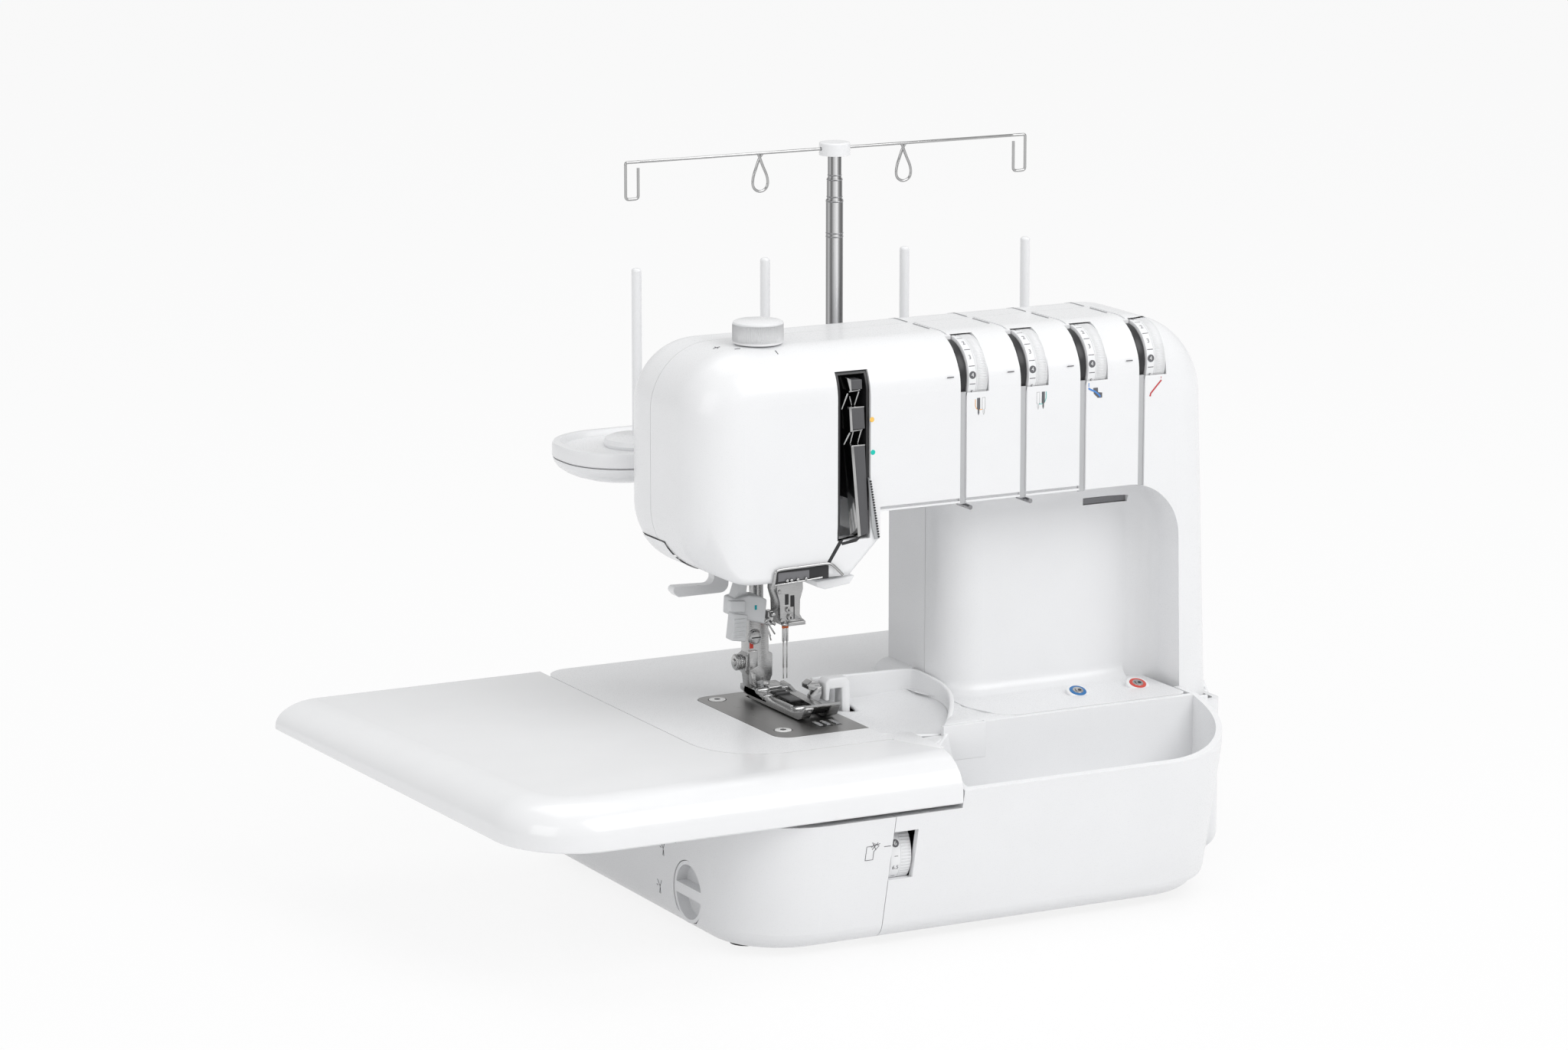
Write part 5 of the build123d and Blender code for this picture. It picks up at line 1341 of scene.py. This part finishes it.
class OVERLOCK_OT_studio(bpy.types.Operator):
    """Builds the floor, the lamps and the camera"""

    bl_idname = "overlock.studio"
    bl_label = "Studio"

    def execute(self, context):
        scene = context.scene
        studio = scene.overlock_studio
        scene.view_settings.view_transform = "Standard"
        deselect()
        bpy.ops.mesh.primitive_plane_add(size=40, location=(0, 0, 0))
        floor = context.object
        floor.name = "studio_floor"
        material = bpy.data.materials.new("floor_paper")
        material.use_nodes = True
        tree = material.node_tree
        tree.nodes.clear()
        output = tree.nodes.new("ShaderNodeOutputMaterial")
        paper = tree.nodes.new("ShaderNodeBsdfPrincipled")
        paper.inputs["Base Color"].default_value = (0.9, 0.9, 0.905, 1)
        paper.inputs["Roughness"].default_value = 0.32
        glow = tree.nodes.new("ShaderNodeEmission")
        glow.inputs["Strength"].default_value = 1.0
        path = tree.nodes.new("ShaderNodeLightPath")
        share = tree.nodes.new("ShaderNodeMath")
        share.operation = "MULTIPLY"
        share.inputs[1].default_value = 0.86
        seen = tree.nodes.new("ShaderNodeMath")
        seen.operation = "MAXIMUM"
        mix = tree.nodes.new("ShaderNodeMixShader")
        connect(tree, (path.outputs["Is Camera Ray"], seen.inputs[0]), (path.outputs["Is Glossy Ray"], seen.inputs[1]),
                (seen.outputs[0], share.inputs[0]), (share.outputs[0], mix.inputs["Fac"]),
                (paper.outputs["BSDF"], mix.inputs[1]), (glow.outputs["Emission"], mix.inputs[2]),
                (mix.outputs["Shader"], output.inputs["Surface"]))
        floor.data.materials.append(material)
        world = bpy.data.worlds.new("studio_sky")
        scene.world = world
        world.use_nodes = True
        back = world.node_tree.nodes["Background"]
        back.inputs["Color"].default_value = (1.0, 1.0, 1.0, 1)
        back.inputs["Strength"].default_value = studio.sky
        lamps = (
            ("key_box", (1.1, -2.2, 2.3), 2.2, studio.key),
            ("fill_box", (-2.6, -1.4, 1.5), 1.8, studio.fill),
            ("top_box", (0.0, 0.4, 2.8), 2.0, studio.fill),
        )
        for name, place, size, power in lamps:
            deselect()
            bpy.ops.object.light_add(type="AREA", location=place)
            lamp = context.object
            lamp.name = name
            lamp.data.size = size
            lamp.data.energy = power
            lamp.rotation_euler = (Vector((0, 0, 0.2)) - Vector(place)).to_track_quat("-Z", "Y").to_euler()
        deselect()
        bpy.ops.object.camera_add(location=(-1.41127, -2.54604, 0.80756))
        camera = context.object
        camera.name = "photo_camera"
        camera.data.sensor_width = 36.0
        camera.data.lens = studio.lens
        ahead = Vector((
            math.sin(studio.azimuth) * math.cos(studio.elevation),
            math.cos(studio.azimuth) * math.cos(studio.elevation),
            -math.sin(studio.elevation)))
        camera.rotation_euler = ahead.to_track_quat("-Z", "Y").to_euler()
        scene.camera = camera
        return {"FINISHED"}


class OVERLOCK_PT_panel(bpy.types.Panel):
    """Lists the steps"""

    bl_label = "Overlock machine"
    bl_idname = "OVERLOCK_PT_panel"
    bl_space_type = "VIEW_3D"
    bl_region_type = "UI"
    bl_category = "Overlock"

    def draw(self, context):
        for step in STEPS:
            self.layout.operator(step.bl_idname)


STEPS = (
    OVERLOCK_OT_finishes,
    OVERLOCK_OT_tension_dials,
    OVERLOCK_OT_white_forms,
    OVERLOCK_OT_front_prints,
    OVERLOCK_OT_take_up,
    OVERLOCK_OT_head_guides,
    OVERLOCK_OT_needle_area,
    OVERLOCK_OT_base_controls,
    OVERLOCK_OT_mast_rings,
    OVERLOCK_OT_studio,
)
CLASSES = (FinishSettings, DetailSettings, StudioSettings, *STEPS, OVERLOCK_PT_panel)


def register():
    for item in CLASSES:
        bpy.utils.register_class(item)
    bpy.types.Scene.overlock_finish = bpy.props.PointerProperty(type=FinishSettings)
    bpy.types.Scene.overlock_detail = bpy.props.PointerProperty(type=DetailSettings)
    bpy.types.Scene.overlock_studio = bpy.props.PointerProperty(type=StudioSettings)


def unregister():
    del bpy.types.Scene.overlock_studio
    del bpy.types.Scene.overlock_detail
    del bpy.types.Scene.overlock_finish
    for item in reversed(CLASSES):
        bpy.utils.unregister_class(item)


def main():
    register()
    for step in STEPS:
        space, name = step.bl_idname.split(".")
        getattr(getattr(bpy.ops, space), name)()


if __name__ == "__main__":
    main()
